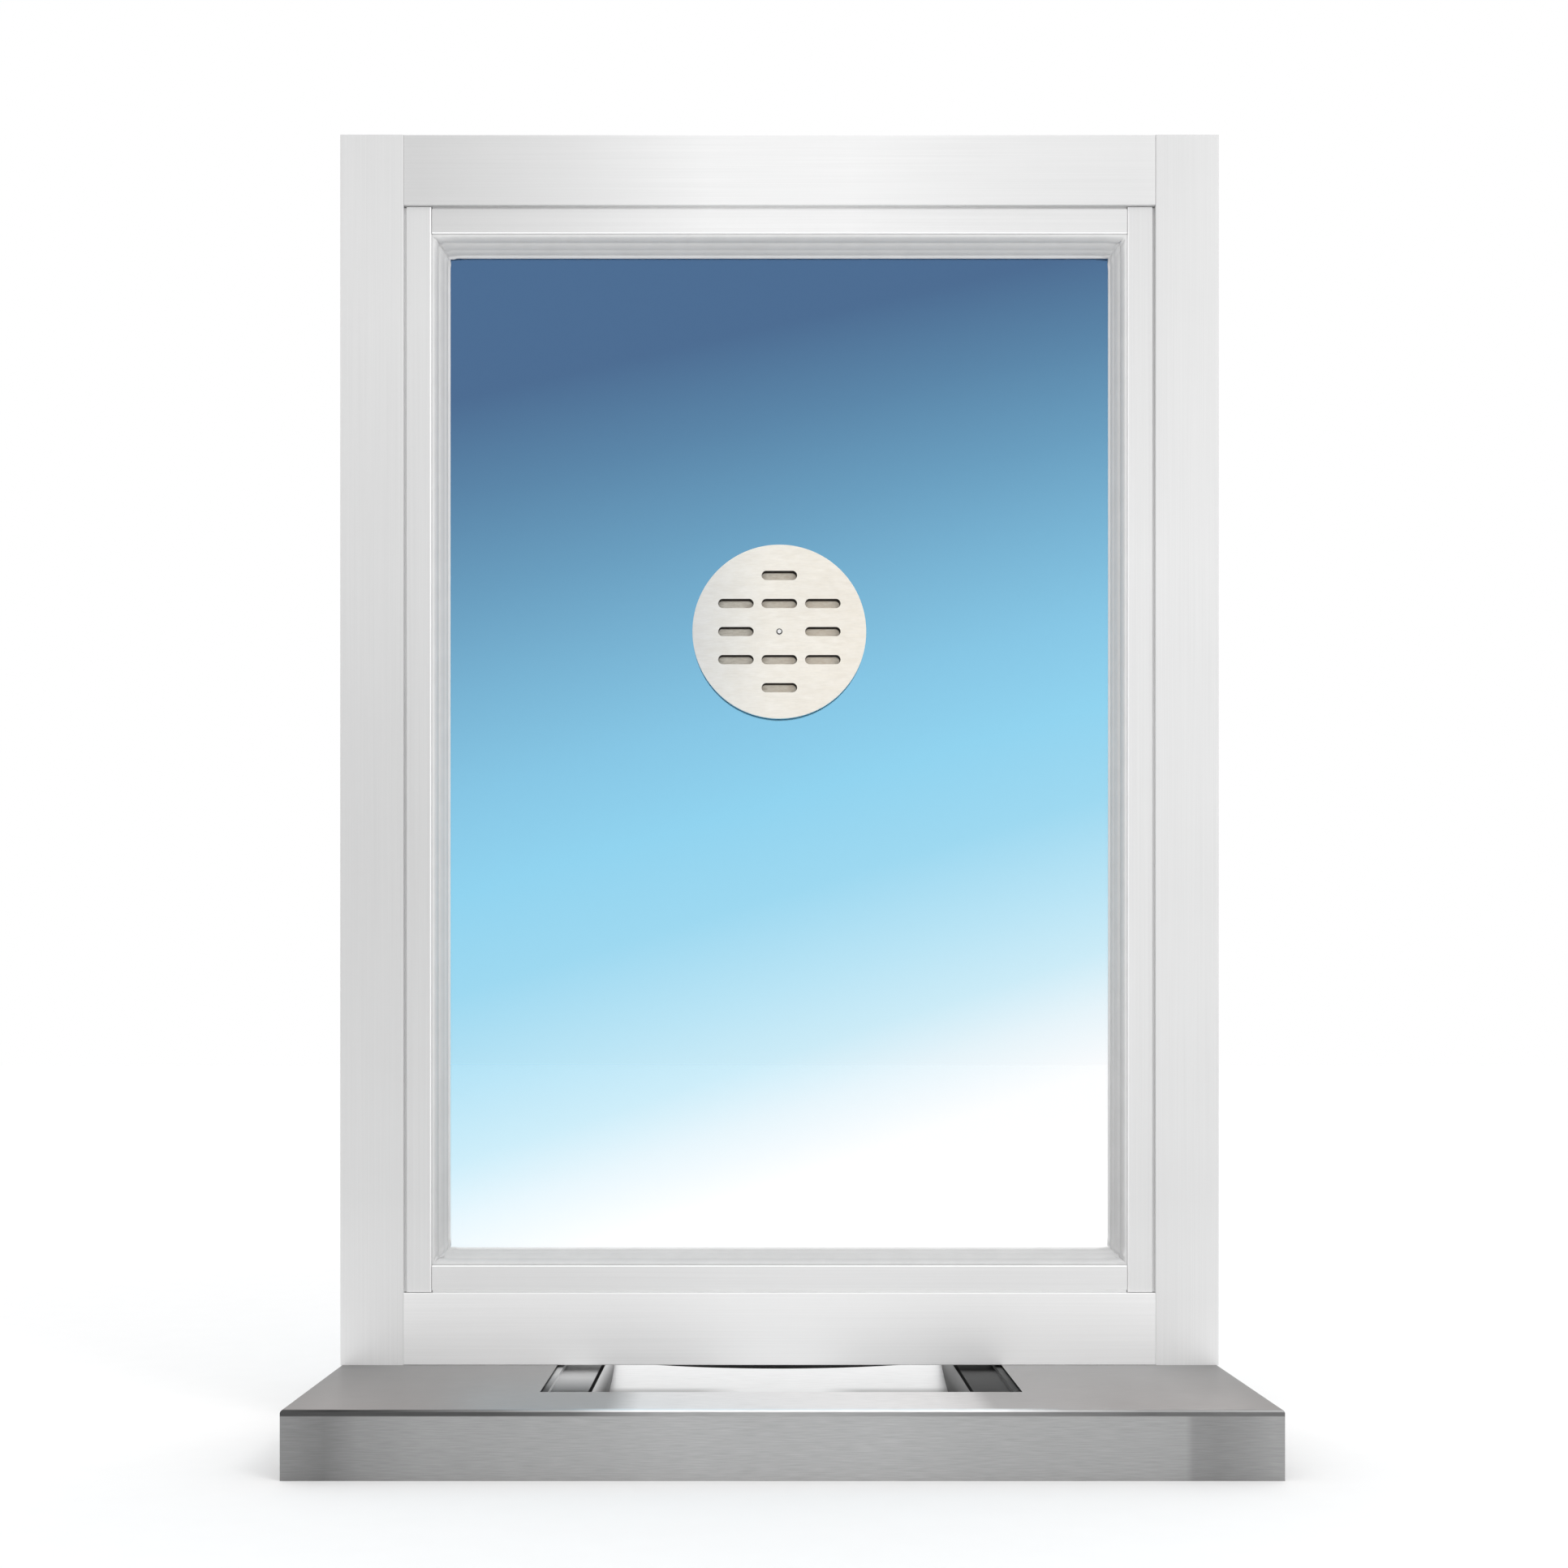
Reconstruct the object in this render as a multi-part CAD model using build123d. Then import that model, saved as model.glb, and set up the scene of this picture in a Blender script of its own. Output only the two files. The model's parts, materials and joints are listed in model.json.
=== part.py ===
from build123d import *
import math
import os

# Ticket window: a fixed glazed frame that stands on a folded counter shelf with a deal tray.
# Millimetres, +Z up, X runs across the window, and the customer's side faces -Y.
# The origin is at the middle of the shelf's underside.

# Frame of hollow extrusions
FRAME_WIDTH = 762.0
FRAME_HEIGHT = 1066.8
FRAME_DEPTH = 50.8
JAMB_FACE = 55.0
HEAD_FACE = 61.0
SILL_FACE = 62.5
TUBE_WALL = 3.2
TUBE_EDGE_RADIUS = 0.8

# Ribs on the extrusions that the glazing stops snap over
RIB_THICKNESS = 2.4
RIB_LENGTH = 12.0
RIB_END_GAP = 0.5
SNAP_BEAD_DEPTH = 0.8
SNAP_BEAD_WIDTH = 2.0
SNAP_BEAD_INSET = 4.0
SNAP_CLEARANCE = 0.15

# Glazing stops
STOP_FACE = 21.5
STOP_GAP = 2.2
STOP_SETBACK = 2.5
STOP_WALL = 2.0
STOP_EDGE_RADIUS = 1.5
STOP_END_GAP = 0.3

# Glass and the gaskets that hold it
GLASS_THICKNESS = 6.35
GLASS_BITE = 12.7
GASKET_SEAT = 6.0
GASKET_BITE = 12.0
GASKET_SHOW = 13.5
GASKET_WRAP = 12.5
GASKET_TOP_WIDTH = 1.8
GASKET_LIP = 1.2
GASKET_RIBS = 3
GASKET_RIB_BULGE = 0.7
BLOCK_LENGTH = 100.0
BLOCK_WIDTH = 16.0

# Speak-through, centred on the glass by its height above the shelf
SPEAK_HEIGHT = 640.0
SPEAK_DIAMETER = 152.4
SPEAK_THICKNESS = 3.0
SPEAK_HOLE_DIAMETER = 127.0
SLOT_LENGTH = 31.0
SLOT_WIDTH = 8.0
SLOT_COLUMN_PITCH = 38.1
SLOT_ROW_PITCH = 24.6
WASHER_THICKNESS = 1.5
WASHER_WIDTH = 8.0
WASHER_EDGE_INSET = 2.2
BAFFLE_DIAMETER = 119.0
BAFFLE_THICKNESS = 2.0
SPACER_FLATS = 11.0
RIVET_DIAMETER = 5.1
RIVET_BORE = 3.5
RIVET_PROUD = 0.3
PIN_PROUD = 0.8

# Folded shelf
SHELF_DEPTH = 457.2
SHELF_HEIGHT = 54.0
SHELF_SHEET = 2.0
SHELF_BEND_RADIUS = 3.0
SHELF_RETURN = 18.0
CUTOUT_WIDTH = 385.0
CUTOUT_DEPTH = 308.0
CUTOUT_CORNER_RADIUS = 1.5

# Stiffening channels under the shelf
CHANNEL_INSET = 79.0
CHANNEL_CROWN = 26.0
CHANNEL_HEIGHT = 24.0
CHANNEL_FLANGE = 13.0
CHANNEL_END_GAP = 0.3

# Deal tray
TRAY_SHEET = 1.6
TRAY_WELL_WIDTH = 307.0
TRAY_SCOOP_DEPTH = 38.0
TRAY_FLANGE = 20.0
TRAY_RIM_SHOW = 5.0
TRAY_SCOOP_REVEAL = 1.5
TRAY_LEDGE_DROP = 3.0
TRAY_BEND_RADIUS = 2.5

# Studs that hold the tray under the shelf
STUD_DIAMETER = 4.0
STUD_HOLE = 4.6
STUD_INSET = 12.0
STUD_NUT_FLATS = 7.0
STUD_NUT_HEIGHT = 3.2
STUD_PITCH_X = 220.0

# Bolts that hold the sill down on the shelf
BOLT_DIAMETER = 8.0
BOLT_HOLE = 9.0
BOLT_HEAD_FLATS = 13.0
BOLT_HEAD_HEIGHT = 5.3
BOLT_NUT_HEIGHT = 6.5
BOLT_TIP = 3.0
BOLT_INSET = 62.0

# Angle clips inside the corners of the frame
CLIP_LEG = 45.0
CLIP_THICKNESS = 4.0
CLIP_DEPTH = 40.0

# Anchor holes through the jambs
ANCHOR_HOLE = 7.0
ANCHOR_END_DISTANCE = 150.0

# How far a cutting shape reaches past what it cuts
CUT_OVERSHOOT = 1.0

# Places worked out from the sizes
HALF_OPENING = FRAME_WIDTH / 2 - JAMB_FACE
FRAME_TOP = SHELF_HEIGHT + FRAME_HEIGHT
OPENING_BOTTOM = SHELF_HEIGHT + SILL_FACE
OPENING_TOP = FRAME_TOP - HEAD_FACE
OPENING_HEIGHT = OPENING_TOP - OPENING_BOTTOM
OPENING_MIDDLE = (OPENING_TOP + OPENING_BOTTOM) / 2
STOP_INNER = STOP_GAP + STOP_FACE
STOP_FRONT = -FRAME_DEPTH / 2 + STOP_SETBACK
STOP_BACK = -GLASS_THICKNESS / 2 - GASKET_SEAT
GLASS_EDGE = STOP_INNER - GLASS_BITE
HALF_GLASS = HALF_OPENING - GLASS_EDGE
BOLT_X = HALF_OPENING - BOLT_INSET
SPEAK_CENTRE = SHELF_HEIGHT + SPEAK_HEIGHT
SHEET_UNDERSIDE = SHELF_HEIGHT - SHELF_SHEET
HALF_WELL = TRAY_WELL_WIDTH / 2
HALF_SCOOP = CUTOUT_DEPTH / 2 - TRAY_SCOOP_REVEAL
SCOOP_RADIUS = (HALF_SCOOP ** 2 + TRAY_SCOOP_DEPTH ** 2) / (2 * TRAY_SCOOP_DEPTH)
SCOOP_CENTRE = SHEET_UNDERSIDE - TRAY_SCOOP_DEPTH + SCOOP_RADIUS
TRAY_HALF_WIDTH = CUTOUT_WIDTH / 2 + TRAY_FLANGE
TRAY_HALF_DEPTH = CUTOUT_DEPTH / 2 + TRAY_FLANGE
LEDGE_TOP = SHEET_UNDERSIDE - TRAY_LEDGE_DROP


def block(x, y, z):
    """A box from its lowest and highest place along each axis."""
    middle = Pos((x[0] + x[1]) / 2, (y[0] + y[1]) / 2, (z[0] + z[1]) / 2)
    return middle * Box(x[1] - x[0], y[1] - y[0], z[1] - z[0])


def rod(diameter, x, y, z):
    """A round bar along whichever of x, y and z is given as a pair."""
    if isinstance(x, tuple):
        plane = Plane(origin=(x[0], y, z), z_dir=(1, 0, 0))
        length = x[1] - x[0]
    elif isinstance(y, tuple):
        plane = Plane(origin=(x, y[0], z), z_dir=(0, 1, 0))
        length = y[1] - y[0]
    else:
        plane = Plane(origin=(x, y, z[0]), z_dir=(0, 0, 1))
        length = z[1] - z[0]
    return extrude(plane * Circle(diameter / 2), length)


def side_plane(side, place):
    """Where a section is drawn for one side of the frame.

    Its own x grows from the member's inner face into the opening and its own y runs along world Y.
    """
    if side == "left":
        return Plane(origin=(-HALF_OPENING, 0, place), x_dir=(1, 0, 0), z_dir=(0, 0, 1))
    if side == "right":
        return Plane(origin=(HALF_OPENING, 0, place), x_dir=(-1, 0, 0), z_dir=(0, 0, -1))
    if side == "sill":
        return Plane(origin=(place, 0, OPENING_BOTTOM), x_dir=(0, 0, 1), z_dir=(-1, 0, 0))
    return Plane(origin=(place, 0, OPENING_TOP), x_dir=(0, 0, -1), z_dir=(1, 0, 0))


def run(side, section, start, end):
    """Extrudes a section along one side of the frame, between two places in the world."""
    upright = side in ("left", "right")
    direction = (0, 0, 1) if upright else (1, 0, 0)
    return extrude(side_plane(side, start) * section, end - start, dir=direction)


def rectangle(u, v):
    """A rectangle in a section, from its lowest and highest place each way."""
    return Pos((u[0] + u[1]) / 2, (v[0] + v[1]) / 2) * Rectangle(u[1] - u[0], v[1] - v[0])


def leg_places():
    """The inner faces of a front stop's two legs, each with the way that its bead points."""
    return [(STOP_FRONT + STOP_WALL, 1), (STOP_BACK - STOP_WALL, -1)]


def tube_section(face):
    """The hollow rectangle of a frame member."""
    outer = Pos(-face / 2, 0) * RectangleRounded(face, FRAME_DEPTH, TUBE_EDGE_RADIUS)
    return outer - Pos(-face / 2, 0) * Rectangle(face - 2 * TUBE_WALL, FRAME_DEPTH - 2 * TUBE_WALL)


def rib_section():
    """The four snap ribs of a frame member, each with its notch."""
    ribs = Sketch()
    notch_start = STOP_GAP + SNAP_BEAD_INSET - SNAP_CLEARANCE
    notch_end = STOP_GAP + SNAP_BEAD_INSET + SNAP_BEAD_WIDTH + SNAP_CLEARANCE
    for place, way in leg_places():
        rib = rectangle((-TUBE_WALL / 2, RIB_LENGTH), sorted((place, place + way * RIB_THICKNESS)))
        depth = SNAP_BEAD_DEPTH + SNAP_CLEARANCE
        notch = rectangle((notch_start, notch_end), sorted((place, place + way * depth)))
        rib -= notch
        ribs += rib + mirror(rib, Plane.XZ)
    return ribs


def stop_section(rear=False):
    """A glazing stop: a channel open towards the frame, with a snap bead on each leg."""
    shell = rectangle((STOP_GAP, STOP_INNER), (STOP_FRONT, STOP_BACK))
    shell = fillet(shell.vertices().group_by(Axis.X)[-1], STOP_EDGE_RADIUS)
    hollow = (STOP_FRONT + STOP_WALL, STOP_BACK - STOP_WALL)
    shell -= rectangle((STOP_GAP, STOP_INNER - STOP_WALL), hollow)
    start = STOP_GAP + SNAP_BEAD_INSET
    for place, way in leg_places():
        reach = sorted((place - way * STOP_WALL / 2, place + way * SNAP_BEAD_DEPTH))
        shell += rectangle((start, start + SNAP_BEAD_WIDTH), reach)
    return mirror(shell, Plane.XZ) if rear else shell


def gasket_section(rear=False):
    """A glazing gasket: wedged between stop and glass, with a ribbed face towards the viewer."""
    glass_face = -GLASS_THICKNESS / 2
    foot = Vector(STOP_INNER + GASKET_SHOW, glass_face - GASKET_LIP)
    crest = Vector(STOP_INNER + GASKET_TOP_WIDTH, STOP_BACK - GASKET_WRAP)
    step = (crest - foot) / GASKET_RIBS
    outward = Vector(-step.Y, step.X).normalized() * -GASKET_RIB_BULGE
    edges = []
    for number in range(GASKET_RIBS):
        start = foot + step * number
        end = start + step
        edges.append(ThreePointArc(start, (start + end) / 2 + outward, end))
    edges.append(
        Polyline(
            crest,
            (STOP_INNER, STOP_BACK - GASKET_WRAP),
            (STOP_INNER, STOP_BACK),
            (STOP_INNER - GASKET_BITE, STOP_BACK),
            (STOP_INNER - GASKET_BITE, glass_face),
            (STOP_INNER + GASKET_SHOW, glass_face),
            foot,
        )
    )
    section = make_face(Curve() + edges)
    return mirror(section, Plane.XZ) if rear else section


def frame_member(side):
    """One hollow extrusion of the frame with its snap ribs."""
    if side in ("left", "right"):
        tube = run(side, tube_section(JAMB_FACE), SHELF_HEIGHT, FRAME_TOP)
        ribs = run(side, rib_section(), OPENING_BOTTOM + RIB_END_GAP, OPENING_TOP - RIB_END_GAP)
        return tube + ribs
    face = SILL_FACE if side == "sill" else HEAD_FACE
    reach = HALF_OPENING - STOP_INNER - RIB_END_GAP
    tube = run(side, tube_section(face), -HALF_OPENING, HALF_OPENING)
    return tube + run(side, rib_section(), -reach, reach)


def anchor_holes():
    """The bores for the wall anchors, through both walls of both jambs, in line with the pane."""
    bores = Part()
    reach = (-FRAME_WIDTH / 2 - CUT_OVERSHOOT, FRAME_WIDTH / 2 + CUT_OVERSHOOT)
    for z in (SHELF_HEIGHT + ANCHOR_END_DISTANCE, FRAME_TOP - ANCHOR_END_DISTANCE):
        bores += rod(ANCHOR_HOLE, reach, 0, z)
    return bores


def bolt_holes():
    """The clearance holes of the two bolts that go up through the shelf into the sill."""
    reach = (SHEET_UNDERSIDE - CUT_OVERSHOOT, SHELF_HEIGHT + TUBE_WALL + CUT_OVERSHOOT)
    return rod(BOLT_HOLE, -BOLT_X, 0, reach) + rod(BOLT_HOLE, BOLT_X, 0, reach)


def hexagon(flats, x, y, z):
    """An upright hexagonal bar, from its width across flats."""
    corner_radius = flats / math.sqrt(3)
    return Pos(x, y, z[0]) * extrude(RegularPolygon(corner_radius, 6), z[1] - z[0])


def frame_bolts():
    """Hex bolts with nuts, each as one solid."""
    bolts = Part()
    seat = SHELF_HEIGHT + TUBE_WALL
    for x in (-BOLT_X, BOLT_X):
        head = hexagon(BOLT_HEAD_FLATS, x, 0, (SHEET_UNDERSIDE - BOLT_HEAD_HEIGHT, SHEET_UNDERSIDE))
        nut = hexagon(BOLT_HEAD_FLATS, x, 0, (seat, seat + BOLT_NUT_HEIGHT))
        shank = rod(BOLT_DIAMETER, x, 0, (SHEET_UNDERSIDE, seat + BOLT_NUT_HEIGHT + BOLT_TIP))
        bolts += head + shank + nut
    return bolts


def glazing_stop(side, rear):
    """One stop: the side stops run full height and the others fit between them."""
    if side in ("left", "right"):
        return run(side, stop_section(rear), OPENING_BOTTOM + STOP_END_GAP, OPENING_TOP - STOP_END_GAP)
    reach = HALF_OPENING - STOP_INNER - STOP_END_GAP
    return run(side, stop_section(rear), -reach, reach)


def gasket_ring(rear):
    """Four lengths of gasket joined at mitred corners."""
    section = gasket_section(rear)
    inner = STOP_INNER - GASKET_BITE
    outer = STOP_INNER + GASKET_SHOW + GASKET_RIB_BULGE
    half_height = OPENING_HEIGHT / 2
    ring = Part()
    for side in ("left", "sill", "right", "head"):
        upright = side in ("left", "right")
        half = half_height if upright else HALF_OPENING
        middle = OPENING_MIDDLE if upright else 0
        length = run(side, section, middle - half, middle + half)
        across = HALF_OPENING if upright else half_height
        mitre = make_face(
            Polyline(
                (-across + inner, -half + inner),
                (-across + outer, -half + outer),
                (-across + outer, half - outer),
                (-across + inner, half - inner),
                close=True,
            )
        )
        turn = {"left": 0, "sill": 90, "right": 180, "head": 270}[side]
        plane = Plane(origin=(0, FRAME_DEPTH / 2, OPENING_MIDDLE), x_dir=(1, 0, 0), z_dir=(0, -1, 0))
        ring += length & extrude(plane * (Rot(0, 0, turn) * mitre), FRAME_DEPTH)
    return ring


def glass_pane():
    """The pane, with the round hole for the speak-through."""
    half = GLASS_THICKNESS / 2
    height = (OPENING_BOTTOM + GLASS_EDGE, OPENING_TOP - GLASS_EDGE)
    pane = block((-HALF_GLASS, HALF_GLASS), (-half, half), height)
    return pane - rod(SPEAK_HOLE_DIAMETER, 0, (-half, half), SPEAK_CENTRE)


def setting_blocks():
    """Two blocks that carry the glass on the sill, at its quarter points."""
    blocks = Part()
    for x in (-HALF_GLASS / 2, HALF_GLASS / 2):
        reach = (x - BLOCK_LENGTH / 2, x + BLOCK_LENGTH / 2)
        height = (OPENING_BOTTOM, OPENING_BOTTOM + GLASS_EDGE)
        blocks += block(reach, (-BLOCK_WIDTH / 2, BLOCK_WIDTH / 2), height)
    return blocks


def slot_places():
    """The speak-through's slots: one, three, two, three, one, from top to bottom."""
    places = [(0, 2), (0, -2), (-1, 0), (1, 0)]
    places += [(column, row) for row in (-1, 1) for column in (-1, 0, 1)]
    return [(column * SLOT_COLUMN_PITCH, row * SLOT_ROW_PITCH) for column, row in places]


def speak_plate(way):
    """A slotted round plate on one face of the glass; way is -1 in front and 1 behind."""
    start = way * (GLASS_THICKNESS / 2 + WASHER_THICKNESS)
    plane = Plane(origin=(0, start, SPEAK_CENTRE), x_dir=(1, 0, 0), z_dir=(0, way, 0))
    plate = extrude(plane * Circle(SPEAK_DIAMETER / 2), SPEAK_THICKNESS)
    slots = Sketch()
    for x, z in slot_places():
        slots += Pos(x, z) * SlotOverall(SLOT_LENGTH, SLOT_WIDTH)
    holes = slots + Circle(RIVET_DIAMETER / 2)
    return plate - extrude(plane * holes, SPEAK_THICKNESS)


def speak_washer(way):
    """The rubber ring between a speak plate and the glass."""
    outer = SPEAK_DIAMETER / 2 - WASHER_EDGE_INSET
    plane = Plane(origin=(0, way * GLASS_THICKNESS / 2, SPEAK_CENTRE), x_dir=(1, 0, 0), z_dir=(0, way, 0))
    return extrude(plane * (Circle(outer) - Circle(outer - WASHER_WIDTH)), WASHER_THICKNESS)


def speak_baffle():
    """The disc between the plates that closes the straight way through the slots."""
    half = BAFFLE_THICKNESS / 2
    disc = rod(BAFFLE_DIAMETER, 0, (-half, half), SPEAK_CENTRE)
    return disc - rod(RIVET_DIAMETER, 0, (-half, half), SPEAK_CENTRE)


def speak_spacers():
    """The two hexagonal sleeves that hold the baffle midway between the plates."""
    spacers = Part()
    section = RegularPolygon(SPACER_FLATS / math.sqrt(3), 6) - Circle(RIVET_DIAMETER / 2)
    length = GLASS_THICKNESS / 2 + WASHER_THICKNESS - BAFFLE_THICKNESS / 2
    for way in (-1, 1):
        start = (0, way * BAFFLE_THICKNESS / 2, SPEAK_CENTRE)
        spacers += extrude(Plane(origin=start, x_dir=(1, 0, 0), z_dir=(0, way, 0)) * section, length)
    return spacers


def plate_reach(proud):
    """From the front plate's face to the rear plate's face, and a little beyond each."""
    half = GLASS_THICKNESS / 2 + WASHER_THICKNESS + SPEAK_THICKNESS + proud
    return (-half, half)


def speak_rivet():
    """The hollow rivet that ties plates, sleeves and baffle together."""
    reach = plate_reach(RIVET_PROUD)
    return rod(RIVET_DIAMETER, 0, reach, SPEAK_CENTRE) - rod(RIVET_BORE, 0, reach, SPEAK_CENTRE)


def speak_pin():
    """The pin that spreads the rivet."""
    return rod(RIVET_BORE, 0, plate_reach(PIN_PROUD), SPEAK_CENTRE)


def shelf_pan():
    """The shelf: a sheet folded down on four sides, with return flanges and welded corners."""
    half_width = FRAME_WIDTH / 2
    half_depth = SHELF_DEPTH / 2
    pan = block((-half_width, half_width), (-half_depth, half_depth), (0, SHELF_HEIGHT))
    pan = fillet(pan.edges().group_by(Axis.Z)[-1], SHELF_BEND_RADIUS)
    inner = block(
        (-half_width + SHELF_SHEET, half_width - SHELF_SHEET),
        (-half_depth + SHELF_SHEET, half_depth - SHELF_SHEET),
        (SHELF_SHEET, SHEET_UNDERSIDE),
    )
    pan -= fillet(inner.edges().group_by(Axis.Z)[-1], SHELF_BEND_RADIUS - SHELF_SHEET)
    pan -= block(
        (-half_width + SHELF_RETURN, half_width - SHELF_RETURN),
        (-half_depth + SHELF_RETURN, half_depth - SHELF_RETURN),
        (0, SHELF_SHEET),
    )
    cutout = extrude(RectangleRounded(CUTOUT_WIDTH, CUTOUT_DEPTH, CUTOUT_CORNER_RADIUS), SHELF_SHEET)
    return pan - Pos(0, 0, SHEET_UNDERSIDE) * cutout - bolt_holes()


def shelf_channel(way):
    """A hat-shaped stiffener welded under the shelf's top."""
    half_crown = CHANNEL_CROWN / 2
    top = SHEET_UNDERSIDE
    crown = rectangle((-half_crown, half_crown), (top - CHANNEL_HEIGHT, top - CHANNEL_HEIGHT + SHELF_SHEET))
    section = crown
    for side in (-1, 1):
        web = sorted((side * half_crown, side * (half_crown - SHELF_SHEET)))
        flange = sorted((side * (half_crown - SHELF_SHEET), side * (half_crown + CHANNEL_FLANGE)))
        section += rectangle(web, (top - CHANNEL_HEIGHT, top))
        section += rectangle(flange, (top - SHELF_SHEET, top))
    half_length = SHELF_DEPTH / 2 - SHELF_BEND_RADIUS - CHANNEL_END_GAP
    place = way * (FRAME_WIDTH / 2 - CHANNEL_INSET)
    plane = Plane(origin=(place, half_length, 0), x_dir=(1, 0, 0), z_dir=(0, -1, 0))
    return extrude(plane * section, 2 * half_length)


def stud_places():
    """The studs along the scoop's flanges, two in front and two behind."""
    edge_y = CUTOUT_DEPTH / 2 + STUD_INSET
    return [(half * STUD_PITCH_X / 2, side * edge_y) for side in (-1, 1) for half in (-1, 1)]


def tray_studs():
    """Studs welded under the shelf's top, each with the closed nut on its end as one solid."""
    studs = Part()
    nut_top = SHEET_UNDERSIDE - TRAY_SHEET
    for x, y in stud_places():
        stud = rod(STUD_DIAMETER, x, y, (nut_top, SHEET_UNDERSIDE))
        studs += stud + hexagon(STUD_NUT_FLATS, x, y, (nut_top - STUD_NUT_HEIGHT, nut_top))
    return studs


def scoop_disc(radius, x):
    """A disc across the tray whose rim is the scoop's curve."""
    return rod(2 * radius, x, 0, SCOOP_CENTRE)


def tray_scoop():
    """The curved floor of the tray, with a flange under the shelf in front and behind."""
    reach = (-HALF_WELL, HALF_WELL)
    top = (SHEET_UNDERSIDE - SCOOP_RADIUS, SHEET_UNDERSIDE)
    blank = block(reach, (-TRAY_HALF_DEPTH, TRAY_HALF_DEPTH), top)
    band = scoop_disc(SCOOP_RADIUS + TRAY_SHEET, reach) & blank
    flange_height = (SHEET_UNDERSIDE - TRAY_SHEET, SHEET_UNDERSIDE)
    for side in (-1, 1):
        band += block(reach, sorted((side * HALF_SCOOP, side * TRAY_HALF_DEPTH)), flange_height)
    band -= scoop_disc(SCOOP_RADIUS, reach)
    for x, y in stud_places():
        band -= rod(STUD_HOLE, x, y, flange_height)
    return band


def tray_end(way):
    """An end of the tray: flange, step, flat ledge and upright wall, folded from one sheet."""
    step_outer = CUTOUT_WIDTH / 2 - TRAY_RIM_SHOW
    blank = block(
        (HALF_WELL, TRAY_HALF_WIDTH),
        (-TRAY_HALF_DEPTH, TRAY_HALF_DEPTH),
        (LEDGE_TOP - TRAY_SHEET, SHEET_UNDERSIDE),
    )
    blank -= block((HALF_WELL, step_outer), (-HALF_SCOOP, HALF_SCOOP), (LEDGE_TOP, SHEET_UNDERSIDE))
    under = (LEDGE_TOP - TRAY_SHEET, SHEET_UNDERSIDE - TRAY_SHEET)
    blank -= block((step_outer + TRAY_SHEET, TRAY_HALF_WIDTH), (-TRAY_HALF_DEPTH, TRAY_HALF_DEPTH), under)
    for side in (-1, 1):
        beyond = sorted((side * (HALF_SCOOP + TRAY_SHEET), side * TRAY_HALF_DEPTH))
        blank -= block((HALF_WELL, TRAY_HALF_WIDTH), beyond, under)
    wall_reach = (HALF_WELL, HALF_WELL + TRAY_SHEET)
    wall_height = (SHEET_UNDERSIDE - SCOOP_RADIUS, LEDGE_TOP)
    wall = scoop_disc(SCOOP_RADIUS + TRAY_SHEET, wall_reach)
    wall &= block(wall_reach, (-HALF_SCOOP, HALF_SCOOP), wall_height)
    end = blank + wall
    inner_edges = end.edges().filter_by(Axis.Y).group_by(Axis.X)[0]
    end = fillet(inner_edges.group_by(Axis.Z)[-1], TRAY_BEND_RADIUS)
    return end if way > 0 else mirror(end, Plane.YZ)


def corner_clips():
    """Angle clips that join the ends of head and sill to the jambs, inside the extrusions."""
    clips = Part()
    depth = (-CLIP_DEPTH / 2, CLIP_DEPTH / 2)
    for way in (-1, 1):
        foot = sorted((way * HALF_OPENING, way * (HALF_OPENING - CLIP_LEG)))
        stem = sorted((way * HALF_OPENING, way * (HALF_OPENING - CLIP_THICKNESS)))
        for seat, up in ((SHELF_HEIGHT + TUBE_WALL, 1), (FRAME_TOP - TUBE_WALL, -1)):
            clips += block(foot, depth, sorted((seat, seat + up * CLIP_THICKNESS)))
            clips += block(stem, depth, sorted((seat, seat + up * CLIP_LEG)))
    return clips


def build_parts():
    """Every piece by its name."""
    parts = {
        "left_jamb": frame_member("left") - anchor_holes(),
        "right_jamb": frame_member("right") - anchor_holes(),
        "head_rail": frame_member("head"),
        "sill_rail": frame_member("sill") - bolt_holes(),
    }
    for side in ("left", "right", "head", "sill"):
        parts["front_stop_" + side] = glazing_stop(side, rear=False)
        parts["rear_stop_" + side] = glazing_stop(side, rear=True)
    parts["front_gasket"] = gasket_ring(rear=False)
    parts["rear_gasket"] = gasket_ring(rear=True)
    parts["glass_pane"] = glass_pane()
    parts["setting_blocks"] = setting_blocks()
    parts["speak_plate_front"] = speak_plate(-1)
    parts["speak_plate_rear"] = speak_plate(1)
    parts["speak_washer_front"] = speak_washer(-1)
    parts["speak_washer_rear"] = speak_washer(1)
    parts["speak_baffle"] = speak_baffle()
    parts["speak_spacers"] = speak_spacers()
    parts["speak_rivet"] = speak_rivet()
    parts["speak_pin"] = speak_pin()
    parts["shelf_pan"] = shelf_pan()
    parts["shelf_channel_left"] = shelf_channel(-1)
    parts["shelf_channel_right"] = shelf_channel(1)
    parts["tray_scoop"] = tray_scoop()
    parts["tray_end_left"] = tray_end(-1)
    parts["tray_end_right"] = tray_end(1)
    parts["tray_studs"] = tray_studs()
    parts["frame_bolts"] = frame_bolts()
    parts["corner_clips"] = corner_clips()
    return parts


os.makedirs("parts", exist_ok=True)
for name, solid in build_parts().items():
    export_step(solid, f"parts/{name}.step")
    print(name, "volume", round(solid.volume))
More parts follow.
